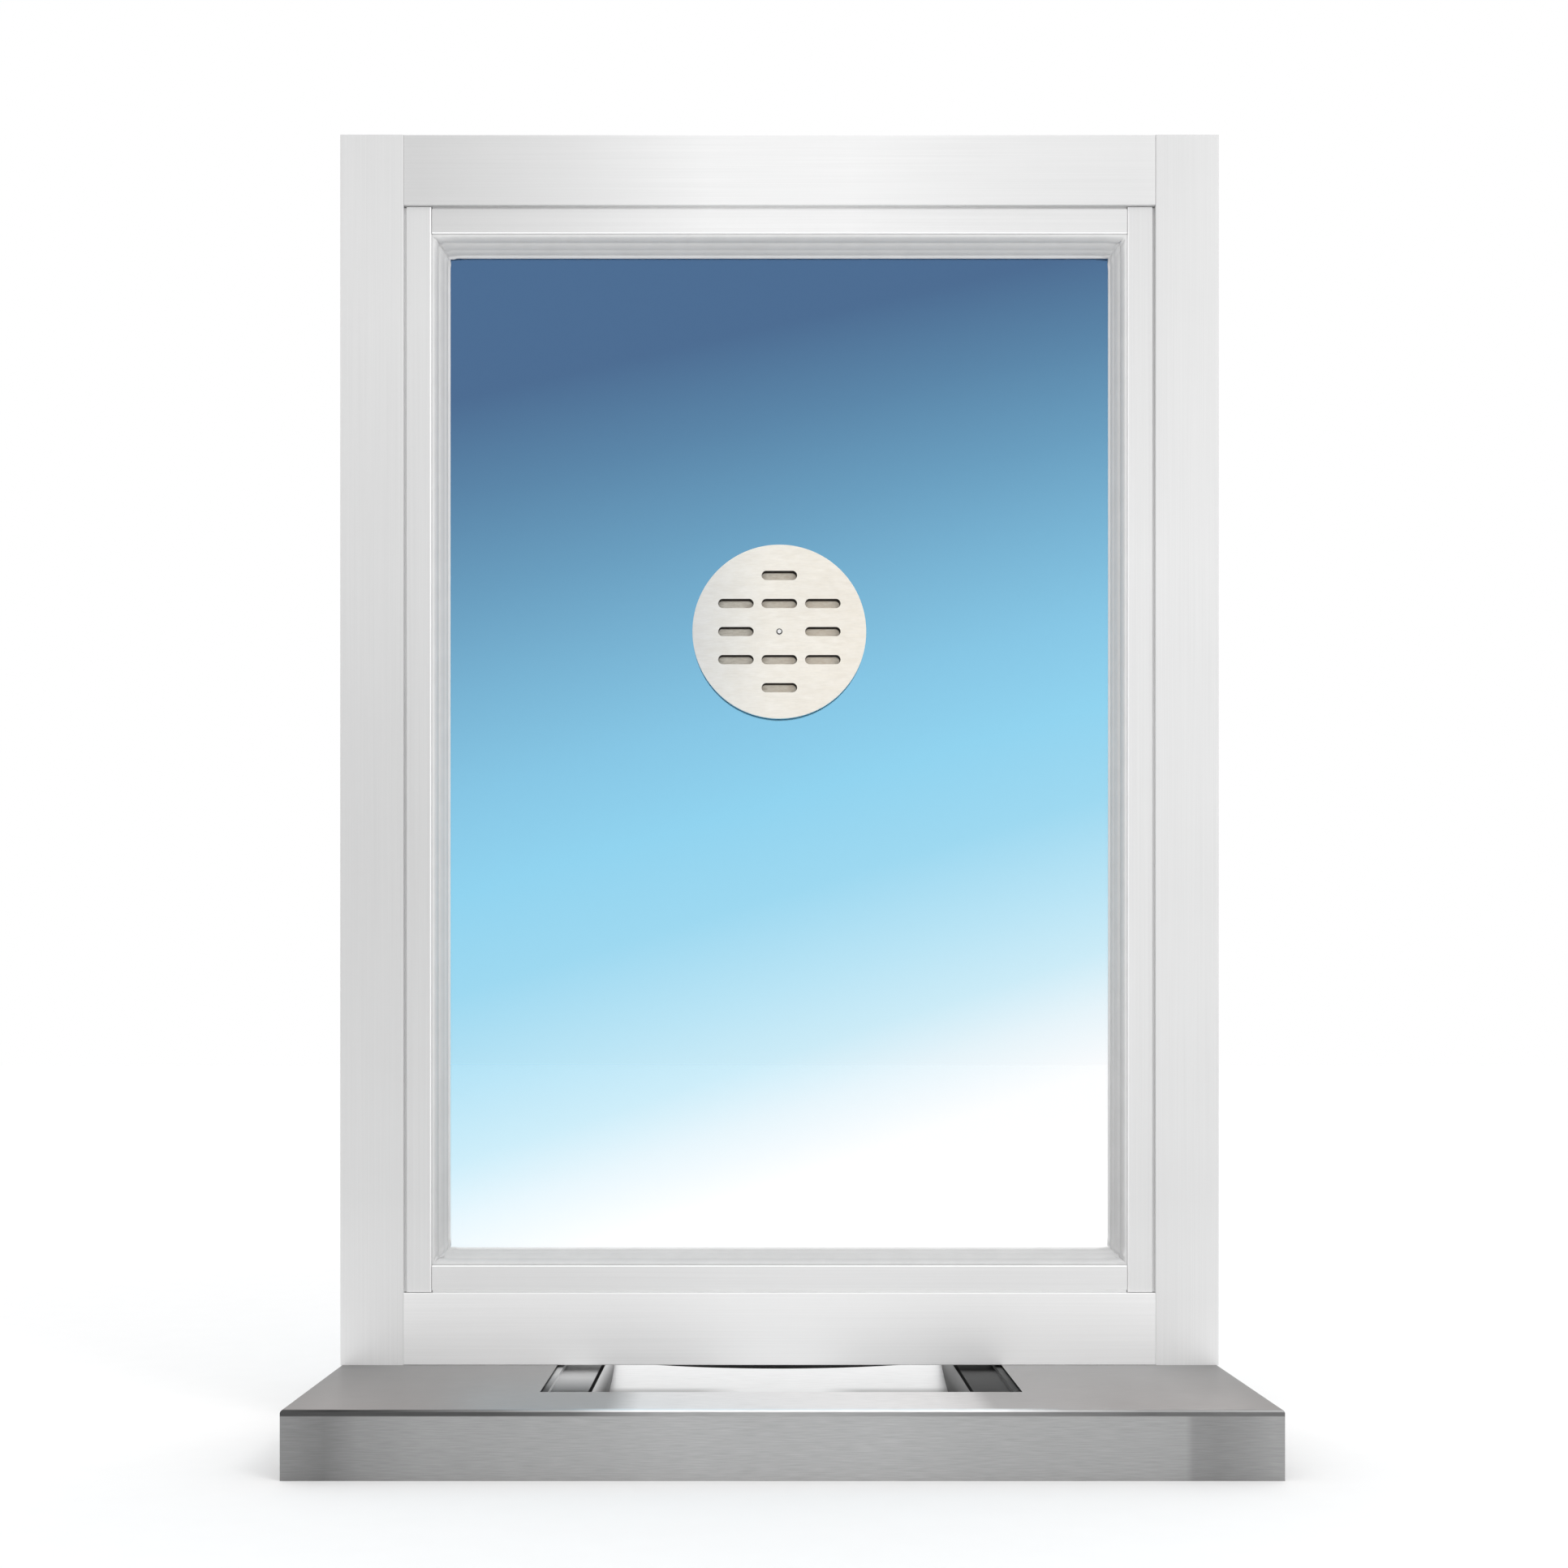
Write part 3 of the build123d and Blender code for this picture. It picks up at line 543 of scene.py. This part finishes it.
is_end_wall = spread(tray_tree, sum_of(tray_tree, "ABSOLUTE", tray_facing["X"]), *END_WALL_TURN)
end_tone = blend(tray_tree, past_fold, FOLD_DARK, ledge)
across = sum_of(tray_tree, "DIVIDE", tray_place["X"], CRESCENT_HALF)
bow = sum_of(tray_tree, "MULTIPLY", sum_of(tray_tree, "MULTIPLY", across, across), CRESCENT_BOW)
bowed = sum_of(tray_tree, "SUBTRACT", tray_place["Y"], bow)
crescent = sum_of(
    tray_tree,
    "MULTIPLY",
    sum_of(tray_tree, "GREATER_THAN", bowed, CRESCENT_START),
    sum_of(tray_tree, "LESS_THAN", tray_place["Y"], CRESCENT_END),
)
to_end = spread(tray_tree, sideways, *TO_END)
bottom = blend(tray_tree, to_end, SCOOP_TONE, tone_run(tray_tree, tray_place["Y"], BOTTOM_TONES))
scoop_tone = blend(tray_tree, crescent, bottom, CRESCENT_TONE)
painted_light = blend(tray_tree, beside_well, scoop_tone, end_tone)
painted_light = blend(tray_tree, is_end_wall, painted_light, wall)
link_painted_light(tray_tree, tray_shader, tray_colour, painted_light, TRAY_FLAT_TINT)
print("tray nodes:", len(tray_tree.nodes))

# %% [markdown]
# The gasket is a soft grey vinyl with a satin skin. Its crest and the lip that wipes the glass are
# painted a little paler, as highlights. The pieces under the glass are black rubber. Both are one
# colour in nature, so besides these painted highlights a slow mottling and a fine grain are all they need.

# %% Gasket vinyl and black rubber
# Painted highlights by depth: paler on the crest and on the lip at the glass.
VINYL_HIGHLIGHT_TONES = ((0.003, 0.88), (0.0055, 0.86), (0.0065, 0.66), (0.0185, 0.64), (0.0210, 0.68), (0.0220, 0.76))

vinyl, vinyl_tree, vinyl_shader = make_material("grey_gasket_vinyl", Roughness=0.55, IOR=1.45)
mottle = noise(vinyl_tree, object_place(vinyl_tree), 60.0, detail=4.0)
depth = sum_of(vinyl_tree, "ABSOLUTE", split(vinyl_tree, object_place(vinyl_tree))["Y"])
vinyl_body = tone_run(vinyl_tree, depth, VINYL_HIGHLIGHT_TONES)
vinyl_mix = blend(vinyl_tree, spread(vinyl_tree, mottle, *CLOUD_RANGE), grey(0.96), grey(1.0))
vinyl_mix = blend(vinyl_tree, 1.0, vinyl_body, vinyl_mix, "MULTIPLY")
vinyl_tree.links.new(vinyl_mix, vinyl_shader.inputs["Base Color"])
vinyl_grain = noise(vinyl_tree, object_place(vinyl_tree), 900.0, detail=2.0)
bump(vinyl_tree, vinyl_shader, vinyl_grain, 0.00004, 0.4)

rubber, rubber_tree, rubber_shader = make_material("black_block_rubber", Roughness=0.7)
rubber_mix = blend(rubber_tree, noise(rubber_tree, object_place(rubber_tree), 120.0), grey(0.02), grey(0.05))
rubber_tree.links.new(rubber_mix, rubber_shader.inputs["Base Color"])
print("soft finishes:", vinyl.name, rubber.name)

# %% [markdown]
# Behind the slots lies a beige disc. Zoomed in, it is mottled and slightly fibrous, warmer on the
# right and greyer on the left. A noise that is stretched sideways gives the fibres, and a slow ramp
# across X warms them. Along the upper and the right edge of every slot a painted shadow of the plate
# darkens the disc. These shadow lines repeat with the slots: the place within one pitch says how far
# a point is from a slot's form that is moved a little down and to the left.

# %% Beige baffle
COLUMN_PITCH = 38.1 * MM
ROW_PITCH = 24.6 * MM
SLOT_STRAIGHT = 11.5 * MM
SLOT_END = 4 * MM
SHADE_REACH = 0.5 * MM
SHADE_INSIDE = 0.5 * MM
SHADE_OUTSIDE = 0.3 * MM
SHADE_DARK = (0.035, 0.028, 0.022, 1)

baffle, baffle_tree, baffle_shader = make_material("beige_baffle", Roughness=0.8)
fibres = noise(baffle_tree, object_place(baffle_tree, (160, 160, 520)), 1.0, detail=5.0, roughness=0.65)
warmth = spread(baffle_tree, split(baffle_tree, object_place(baffle_tree))["X"], -0.05, 0.02)
pale = blend(baffle_tree, warmth, (0.95, 0.91, 0.82, 1), (1.00, 0.93, 0.81, 1))
deep = blend(baffle_tree, warmth, (0.64, 0.60, 0.52, 1), (0.84, 0.73, 0.60, 1))
beige = blend(baffle_tree, spread(baffle_tree, fibres, *NOISE_RANGE), deep, pale)

baffle_low, baffle_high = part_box("speak_baffle")
baffle_place = split(baffle_tree, object_place(baffle_tree))
up = sum_of(baffle_tree, "SUBTRACT", baffle_place["Z"], (baffle_low.z + baffle_high.z) / 2)
within = {}
for axis, value, pitch in (("X", baffle_place["X"], COLUMN_PITCH), ("Z", up, ROW_PITCH)):
    whole = sum_of(baffle_tree, "ROUND", sum_of(baffle_tree, "DIVIDE", value, pitch))
    inside = sum_of(baffle_tree, "SUBTRACT", value, sum_of(baffle_tree, "MULTIPLY", whole, pitch))
    within[axis] = sum_of(baffle_tree, "ADD", inside, SHADE_REACH)
beyond = sum_of(baffle_tree, "SUBTRACT", sum_of(baffle_tree, "ABSOLUTE", within["X"]), SLOT_STRAIGHT)
beyond = sum_of(baffle_tree, "MAXIMUM", beyond, 0.0)
square = sum_of(baffle_tree, "MULTIPLY", beyond, beyond)
square = sum_of(baffle_tree, "ADD", square, sum_of(baffle_tree, "MULTIPLY", within["Z"], within["Z"]))
from_slot = sum_of(baffle_tree, "SQRT", square)
# Painted shadow of the slots' upper and right edges on the disc.
shaded = spread(baffle_tree, from_slot, SLOT_END - SHADE_INSIDE, SLOT_END + SHADE_OUTSIDE)
beige = blend(baffle_tree, shaded, beige, SHADE_DARK)
baffle_tree.links.new(beige, baffle_shader.inputs["Base Color"])
bump(baffle_tree, baffle_shader, fibres, 0.0003, 0.8)
print("baffle nodes:", len(baffle_tree.nodes))

# %% [markdown]
# The pane shows a sky: steel blue at the top left, a clear light blue in the middle and white at the
# bottom right. Real glass could get this from a reflected sky, but that would need a painted
# surround, and it would slide as the view moves. So the sky's reflection is painted into the glass as
# its tint. Its bands fan out from a far point at the upper right, which is simple to write: the slope
# of the line from that point gives the place on a colour ramp.

# %% Tinted glass
FAN_X = 6.878
FAN_Z = 2.567
FAN_START = 0.2328
FAN_END = 0.3545
# Painted reflection of a sky, as tints of the glass.
TINTS = (
    (0.00, (0.048, 0.130, 0.272)),
    (0.10, (0.080, 0.220, 0.385)),
    (0.20, (0.120, 0.326, 0.515)),
    (0.30, (0.170, 0.445, 0.655)),
    (0.40, (0.222, 0.560, 0.787)),
    (0.50, (0.267, 0.650, 0.873)),
    (0.60, (0.325, 0.688, 0.885)),
    (0.70, (0.480, 0.780, 0.925)),
    (0.77, (0.600, 0.840, 0.945)),
    (0.83, (0.800, 0.915, 0.970)),
    (0.90, (0.980, 0.990, 1.000)),
    (1.00, (1.000, 1.000, 1.000)),
)

glass, glass_tree, glass_shader = make_material(
    "sky_tinted_glass", Roughness=0.0, IOR=1.45, Transmission_Weight=1.0, Specular_IOR_Level=0.25
)
place = split(glass_tree, object_place(glass_tree))
rise = sum_of(glass_tree, "SUBTRACT", FAN_Z, place["Z"])
slope = sum_of(glass_tree, "DIVIDE", rise, sum_of(glass_tree, "SUBTRACT", FAN_X, place["X"]))
band = spread(glass_tree, slope, FAN_START, FAN_END)
tint = colour_run(glass_tree, band, [(position, (*colour, 1.0)) for position, colour in TINTS])
glass_tree.links.new(tint, glass_shader.inputs["Base Color"])
print("tints:", len(TINTS))

# %% [markdown]
# The floor is matt white paper. Under the light of this room it comes out as bright as the surround,
# so that far away it runs into it without a line.

# %% Floor paper
paper, paper_tree, paper_shader = make_material("studio_paper", Roughness=1.0, Specular_IOR_Level=0.0)
tooth = noise(paper_tree, object_place(paper_tree), 30.0)
paper_mix = blend(paper_tree, tooth, grey(0.87), grey(0.89))
paper_tree.links.new(paper_mix, paper_shader.inputs["Base Color"])
floor.data.materials.append(paper)
print("floor finish:", paper.name)

# %% [markdown]
# Each solid comes with one material slot. A table of finishes gives it the right one.

# %% Give every solid its finish
FINISHES = {
    left_aluminium: ("left_jamb",),
    right_aluminium: ("right_jamb",),
    head_aluminium: ("head_rail",),
    sill_aluminium: ("sill_rail",),
    left_stop: ("front_stop_left", "rear_stop_left"),
    right_stop: ("front_stop_right", "rear_stop_right"),
    head_stop: ("front_stop_head", "rear_stop_head"),
    sill_stop: ("front_stop_sill", "rear_stop_sill"),
    clip_aluminium: ("corner_clips",),
    vinyl: ("front_gasket", "rear_gasket", "speak_washer_front", "speak_washer_rear"),
    glass: ("glass_pane",),
    rubber: ("setting_blocks",),
    speak_steel: ("speak_plate_front", "speak_plate_rear"),
    baffle: ("speak_baffle",),
    fastener_steel: ("speak_spacers", "tray_studs", "frame_bolts"),
    rivet_steel: ("speak_rivet",),
    pin_steel: ("speak_pin",),
    shelf_steel: ("shelf_pan", "shelf_channel_left", "shelf_channel_right"),
    tray_steel: ("tray_scoop", "tray_end_left", "tray_end_right"),
}

finished = 0
for finish, names in FINISHES.items():
    for name in names:
        solids[name].data.materials.clear()
        solids[name].data.materials.append(finish)
        finished += 1
print("finished:", finished, "of", len(solids))

# %% [markdown]
# Metal that is sawn, punched or folded never has a perfectly sharp edge, and the thin line of light
# along an edge is what tells the eye where two bars meet. The solids could be given live bevels, but
# their triangles aren't joined, so a bevel would find no edges. Instead each such piece is copied,
# its corners are merged, flat triangles are joined to whole faces, and then its sharp edges are
# bevelled by a fraction of a millimetre. The shading of the large flat faces would lean towards
# these small ones, so their weight in it is set by area. The copy takes the place of the solid.

# %% Bevelled copies of the metal pieces
SHARP_EDGE = math.radians(40)
FLAT_EDGE = math.radians(1)
SMOOTH_EDGE = math.radians(35)
SAME_POINT = 0.002 * MM


def only_select(piece):
    """Deselects everything and makes one object the active one."""
    bpy.ops.object.select_all(action="DESELECT")
    piece.select_set(True)
    bpy.context.view_layer.objects.active = piece


def merged_copy(name, new_name):
    """A copy of a solid with joined triangles, which rides with the body and stands for the solid."""
    copy = solids[name].copy()
    copy.data = solids[name].data.copy()
    copy.name = new_name
    bpy.context.scene.collection.objects.link(copy)
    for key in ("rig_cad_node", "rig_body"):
        if key in copy:
            del copy[key]
    copy.parent = None
    only_select(copy)
    bpy.ops.object.mode_set(mode="EDIT")
    bpy.ops.mesh.select_all(action="SELECT")
    bpy.ops.mesh.remove_doubles(threshold=SAME_POINT)
    bpy.ops.mesh.dissolve_limited(angle_limit=FLAT_EDGE)
    bpy.ops.object.mode_set(mode="OBJECT")
    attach(copy, BODY)
    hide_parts(name)
    return copy


def soften(piece, width, segments=2):
    """Bevels the sharp edges of a piece and shades it smooth between them."""
    only_select(piece)
    edge = piece.modifiers.new("edge", "BEVEL")
    edge.width = width
    edge.segments = segments
    edge.limit_method = "ANGLE"
    edge.angle_limit = SHARP_EDGE
    bpy.ops.object.modifier_apply(modifier=edge.name)
    bpy.ops.object.shade_smooth_by_angle(angle=SMOOTH_EDGE)
    weigh = piece.modifiers.new("weigh", "WEIGHTED_NORMAL")
    weigh.keep_sharp = True
    bpy.ops.object.modifier_apply(modifier=weigh.name)
    return piece


EDGES = {
    "left_jamb": 0.35, "right_jamb": 0.35, "head_rail": 0.9, "sill_rail": 0.9,
    "front_stop_left": 0.4, "front_stop_right": 0.4, "front_stop_head": 0.4, "front_stop_sill": 0.4,
    "rear_stop_left": 0.4, "rear_stop_right": 0.4, "rear_stop_head": 0.4, "rear_stop_sill": 0.4,
    "shelf_pan": 0.5, "tray_end_left": 0.3, "tray_end_right": 0.3, "tray_scoop": 0.3,
    "speak_plate_front": 0.2, "speak_plate_rear": 0.2,
}
pieces = {}
for name, width in EDGES.items():
    pieces[name] = soften(merged_copy(name, name + "_dressed"), width * MM)
print("bevelled:", {name: len(piece.data.polygons) for name, piece in pieces.items()})

# %% [markdown]
# The gasket is one soft length that is pushed round the corners, so it bunches up there. It could be
# four mitred bars, but then the corners would look sawn. Here it is built like a picture frame: a
# rectangular loop of edges is extruded ring by ring, and each ring is moved and resized to the next
# point of the gasket's section. The section has a narrow band at the stop, a groove, a broad flat
# slope and a rounded lip on the glass, each written as a share of the slope and a lift above it in
# millimetres. Cuts near the corners, made before the first extrusion, give the corners enough points
# to be pinched. The rear gasket is the same with the depth turned round, and its wedge is a little
# narrower, so that it doesn't show over the front one.

# %% The gasket's section
GASKET_BITE = 12 * MM
FRONT_SHOW = 13.5 * MM
REAR_SHOW = 12.0 * MM
GASKET_TOP = 1.8 * MM
GASKET_LIP = 1.2 * MM
CREST_ROUND = 0.4 * MM
SLOPE = (
    (0.00, 0.0), (0.07, 0.3), (0.22, 0.3), (0.27, 0.0), (0.30, -0.5), (0.34, -0.5), (0.37, 0.0),
    (0.42, 0.2), (0.62, 0.2), (0.64, 0.05), (0.66, 0.2), (0.84, 0.2), (0.87, -0.2), (0.91, 0.3), (0.97, 0.3),
)

side_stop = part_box("front_stop_left")[1]
opening_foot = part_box("front_stop_sill")[1].z
opening_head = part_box("front_stop_head")[0].z
half_width = -side_stop.x
half_height = (opening_head - opening_foot) / 2
ring_middle_z = (opening_head + opening_foot) / 2
seat_y = side_stop.y
glass_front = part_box("glass_pane")[0].y
crest_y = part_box("front_gasket")[0].y


def gasket_points(show, way):
    """The section as (inwards from the stop, y): heel, crest, slope, foot and hidden tail."""
    crest = Vector((GASKET_TOP, crest_y))
    foot = Vector((show, glass_front - GASKET_LIP))
    along = foot - crest
    outward = Vector((along.y, -along.x)).normalized()
    points = [Vector((0, seat_y)), Vector((0, crest_y + CREST_ROUND)), Vector((CREST_ROUND, crest_y))]
    points += [crest + along * share + outward * lift * MM for share, lift in SLOPE]
    points += [foot, Vector((show, glass_front))]
    points += [Vector((-GASKET_BITE, glass_front)), Vector((-GASKET_BITE, seat_y))]
    return [Vector((point.x, way * point.y)) for point in points]


front_section = gasket_points(FRONT_SHOW, 1)
rear_section = gasket_points(REAR_SHOW, -1)
print("section points:", len(front_section), "crest", round(crest_y, 5), "glass", round(glass_front, 5))

# %% Extrude the ring round the opening
CORNER_CUTS = (1.5, 3.0, 4.5, 6.0, 8.0, 10.0, 12.0, 15.0, 19.0, 24.0, 32.0)
SAME_RING_POINT = 0.01 * MM


def ring_of_edges(first):
    """A rectangle of edges at the first point of a section, cut near its corners."""
    size = (2 * (half_width - first.x), 2 * (half_height - first.x))
    bpy.ops.object.select_all(action="DESELECT")
    bpy.ops.mesh.primitive_plane_add(size=1, location=(0, 0, 0))
    ring = bpy.context.object
    bpy.ops.object.mode_set(mode="EDIT")
    bpy.ops.mesh.select_all(action="SELECT")
    bpy.ops.transform.resize(value=(*size, 1), center_override=(0, 0, 0))
    bpy.ops.mesh.delete(type="ONLY_FACE")
    for offset in CORNER_CUTS:
        for axis in (0, 1):
            for way in (-1, 1):
                middle = [0, 0, 0]
                normal = [0, 0, 0]
                middle[axis] = way * (size[axis] / 2 - offset * MM)
                normal[axis] = 1
                bpy.ops.mesh.select_all(action="SELECT")
                bpy.ops.mesh.bisect(plane_co=middle, plane_no=normal)
    bpy.ops.object.mode_set(mode="OBJECT")
    ring.rotation_euler = (math.radians(90), 0, 0)
    ring.location = (0, first.y, ring_middle_z)
    bpy.ops.object.transform_apply(location=True, rotation=True, scale=True)
    return ring


def build_ring(section):
    """Extrudes the loop through a whole section and closes it."""
    ring = ring_of_edges(section[0])
    bpy.ops.object.mode_set(mode="EDIT")
    bpy.ops.mesh.select_all(action="SELECT")
    for before, after in zip(section, section[1:] + section[:1]):
        move = {"value": (0, after.y - before.y, 0)}
        bpy.ops.mesh.extrude_edges_move(TRANSFORM_OT_translate=move)
        grow_x = (half_width - after.x) / (half_width - before.x)
        grow_z = (half_height - after.x) / (half_height - before.x)
        bpy.ops.transform.resize(value=(grow_x, 1, grow_z), center_override=(0, 0, ring_middle_z))
    bpy.ops.mesh.select_all(action="SELECT")
    bpy.ops.mesh.remove_doubles(threshold=SAME_RING_POINT)
    bpy.ops.mesh.normals_make_consistent(inside=False)
    bpy.ops.object.mode_set(mode="OBJECT")
    return ring


front_ring = build_ring(front_section)
rear_ring = build_ring(rear_section)
print("ring:", len(front_ring.data.vertices), "points,", len(front_ring.data.polygons), "faces")

# %% [markdown]
# In each corner the soft gasket has less room on the inside of the bend, so it folds over itself in
# small uneven creases. Only what shows is pinched: the points of the slope that lie close to a corner
# move a little towards the viewer and back, and sideways into the opening, by waves that run round
# the corner and die out along the gasket.

# %% Pinch the corners
PINCH_REACH = 15 * MM
PINCH_DEPTH = 2.6 * MM
PINCH_SHIFT = 1.3 * MM
PINCH_FADE = 1.5
PINCH_FOLDS = 9.0
PINCH_RIPPLE = 900.0
RIPPLE_SHARE = 0.6
RIPPLE_TURNS = 2.3
CORNER_STEP = 2.1
PUSH_REST = 0.30
PUSH_WAVE = 0.4
CREST_CLEAR = 0.3 * MM
GLASS_CLEAR = 0.5 * MM
STOP_CLEAR = 0.2 * MM
LIP_HEIGHT = 0.6 * MM
RING_SMOOTH = math.radians(50)


def pinch(ring, start):
    """Creases the visible slope near the four corners."""
    for vertex in ring.data.vertices:
        point = vertex.co
        way = 1 if point.y < 0 else -1
        depth = way * point.y
        inward_x = half_width - abs(point.x)
        inward_z = half_height - abs(point.z - ring_middle_z)
        on_slope = crest_y + CREST_CLEAR < depth < glass_front - GLASS_CLEAR
        if not on_slope or min(inward_x, inward_z) <= STOP_CLEAR:
            continue
        fade = max(0.0, 1 - abs(inward_x - inward_z) / PINCH_REACH) ** PINCH_FADE
        corner = (point.x > 0) + 2 * (point.z > ring_middle_z)
        turn = PINCH_FOLDS * math.atan2(inward_z, inward_x)
        ripple = math.sin(RIPPLE_TURNS * turn + PINCH_RIPPLE * depth)
        wave = math.sin(turn + start + CORNER_STEP * corner) + RIPPLE_SHARE * ripple
        push = PINCH_DEPTH * fade * (PUSH_REST + PUSH_WAVE * wave)
        slide = PINCH_SHIFT * fade * (0.5 + 0.5 * math.sin(RIPPLE_TURNS * turn + start))
        settle = PINCH_SHIFT * fade * (0.5 - 0.5 * wave / (1 + RIPPLE_SHARE))
        vertex.co.y = way * min(max(depth - push, crest_y), glass_front - LIP_HEIGHT)
        vertex.co.x -= math.copysign(slide, point.x)
        vertex.co.z -= math.copysign(settle, point.z - ring_middle_z)


def finish_ring(ring, name, replaced):
    """Smooth shading, finish and place in the frame."""
    ring.name = name
    only_select(ring)
    bpy.ops.object.shade_smooth_by_angle(angle=RING_SMOOTH)
    ring.data.materials.append(vinyl)
    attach(ring, BODY)
    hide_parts(replaced)
    print("ring:", name, "stands for", replaced)


pinch(front_ring, 0.4)
pinch(rear_ring, 1.3)
finish_ring(front_ring, "front_gasket_ring", "front_gasket")
finish_ring(rear_ring, "rear_gasket_ring", "rear_gasket")

# %% [markdown]
# The light is a white room with one soft lamp high on the right, where the glass doesn't mirror it.
# It leaves the left jamb a little darker than the right. The room itself is the world's light: white
# behind the window, softer in front, and bright straight overhead, where the fold of the shelf
# mirrors it as one long line. Seen as a backdrop, directly or through the pane, the room is plain
# white all round, so that no line shows where the floor ends.

# %% World light
FRONT_LIGHT = (0.86, 0.86, 0.86, 1)
BEHIND_LIGHT = (1, 1, 1, 1)
FRONT_TO_BEHIND = (-0.30, 0.05)
UP_TO_OVERHEAD = (0.62, 0.90)
OVERHEAD_LIGHT = (1.45, 1.45, 1.45, 1)
BACKDROP = (1, 1, 1, 1)

world = bpy.data.worlds.new("studio_world")
bpy.context.scene.world = world
world.use_nodes = True
world_tree = world.node_tree
background = world_tree.nodes["Background"]
direction = split(world_tree, add(world_tree, "ShaderNodeTexCoord").outputs["Generated"])
behind = spread(world_tree, direction["Y"], *FRONT_TO_BEHIND)
room = blend(world_tree, behind, FRONT_LIGHT, BEHIND_LIGHT)
overhead = spread(world_tree, direction["Z"], *UP_TO_OVERHEAD)
room = blend(world_tree, overhead, room, OVERHEAD_LIGHT)
path = add(world_tree, "ShaderNodeLightPath").outputs
bounces = sum_of(world_tree, "ADD", path["Diffuse Depth"], path["Glossy Depth"])
through_pane = sum_of(world_tree, "GREATER_THAN", path["Is Transmission Ray"], bounces)
is_backdrop = sum_of(world_tree, "MAXIMUM", path["Is Camera Ray"], through_pane)
world_tree.links.new(blend(world_tree, is_backdrop, room, BACKDROP), background.inputs["Color"])
background.inputs["Strength"].default_value = 1.0
print("world nodes:", len(world_tree.nodes))

# %% Key lamp
LAMP_PLACE = Vector((1.5, -1.8, 2.4))
LAMP_TARGET = Vector((0, 0, 0.6))
LAMP_SIDE = 0.8
LAMP_POWER = 12.0

lamp_data = bpy.data.lights.new("key_lamp", "AREA")
lamp_data.size = LAMP_SIDE
lamp_data.energy = LAMP_POWER
lamp = bpy.data.objects.new("key_lamp", lamp_data)
bpy.context.scene.collection.objects.link(lamp)
lamp.location = LAMP_PLACE
lamp.rotation_euler = (LAMP_TARGET - LAMP_PLACE).to_track_quat("-Z", "Y").to_euler()
bpy.context.scene.view_settings.view_transform = "Standard"
print("lamp:", LAMP_POWER, "W at", tuple(LAMP_PLACE))
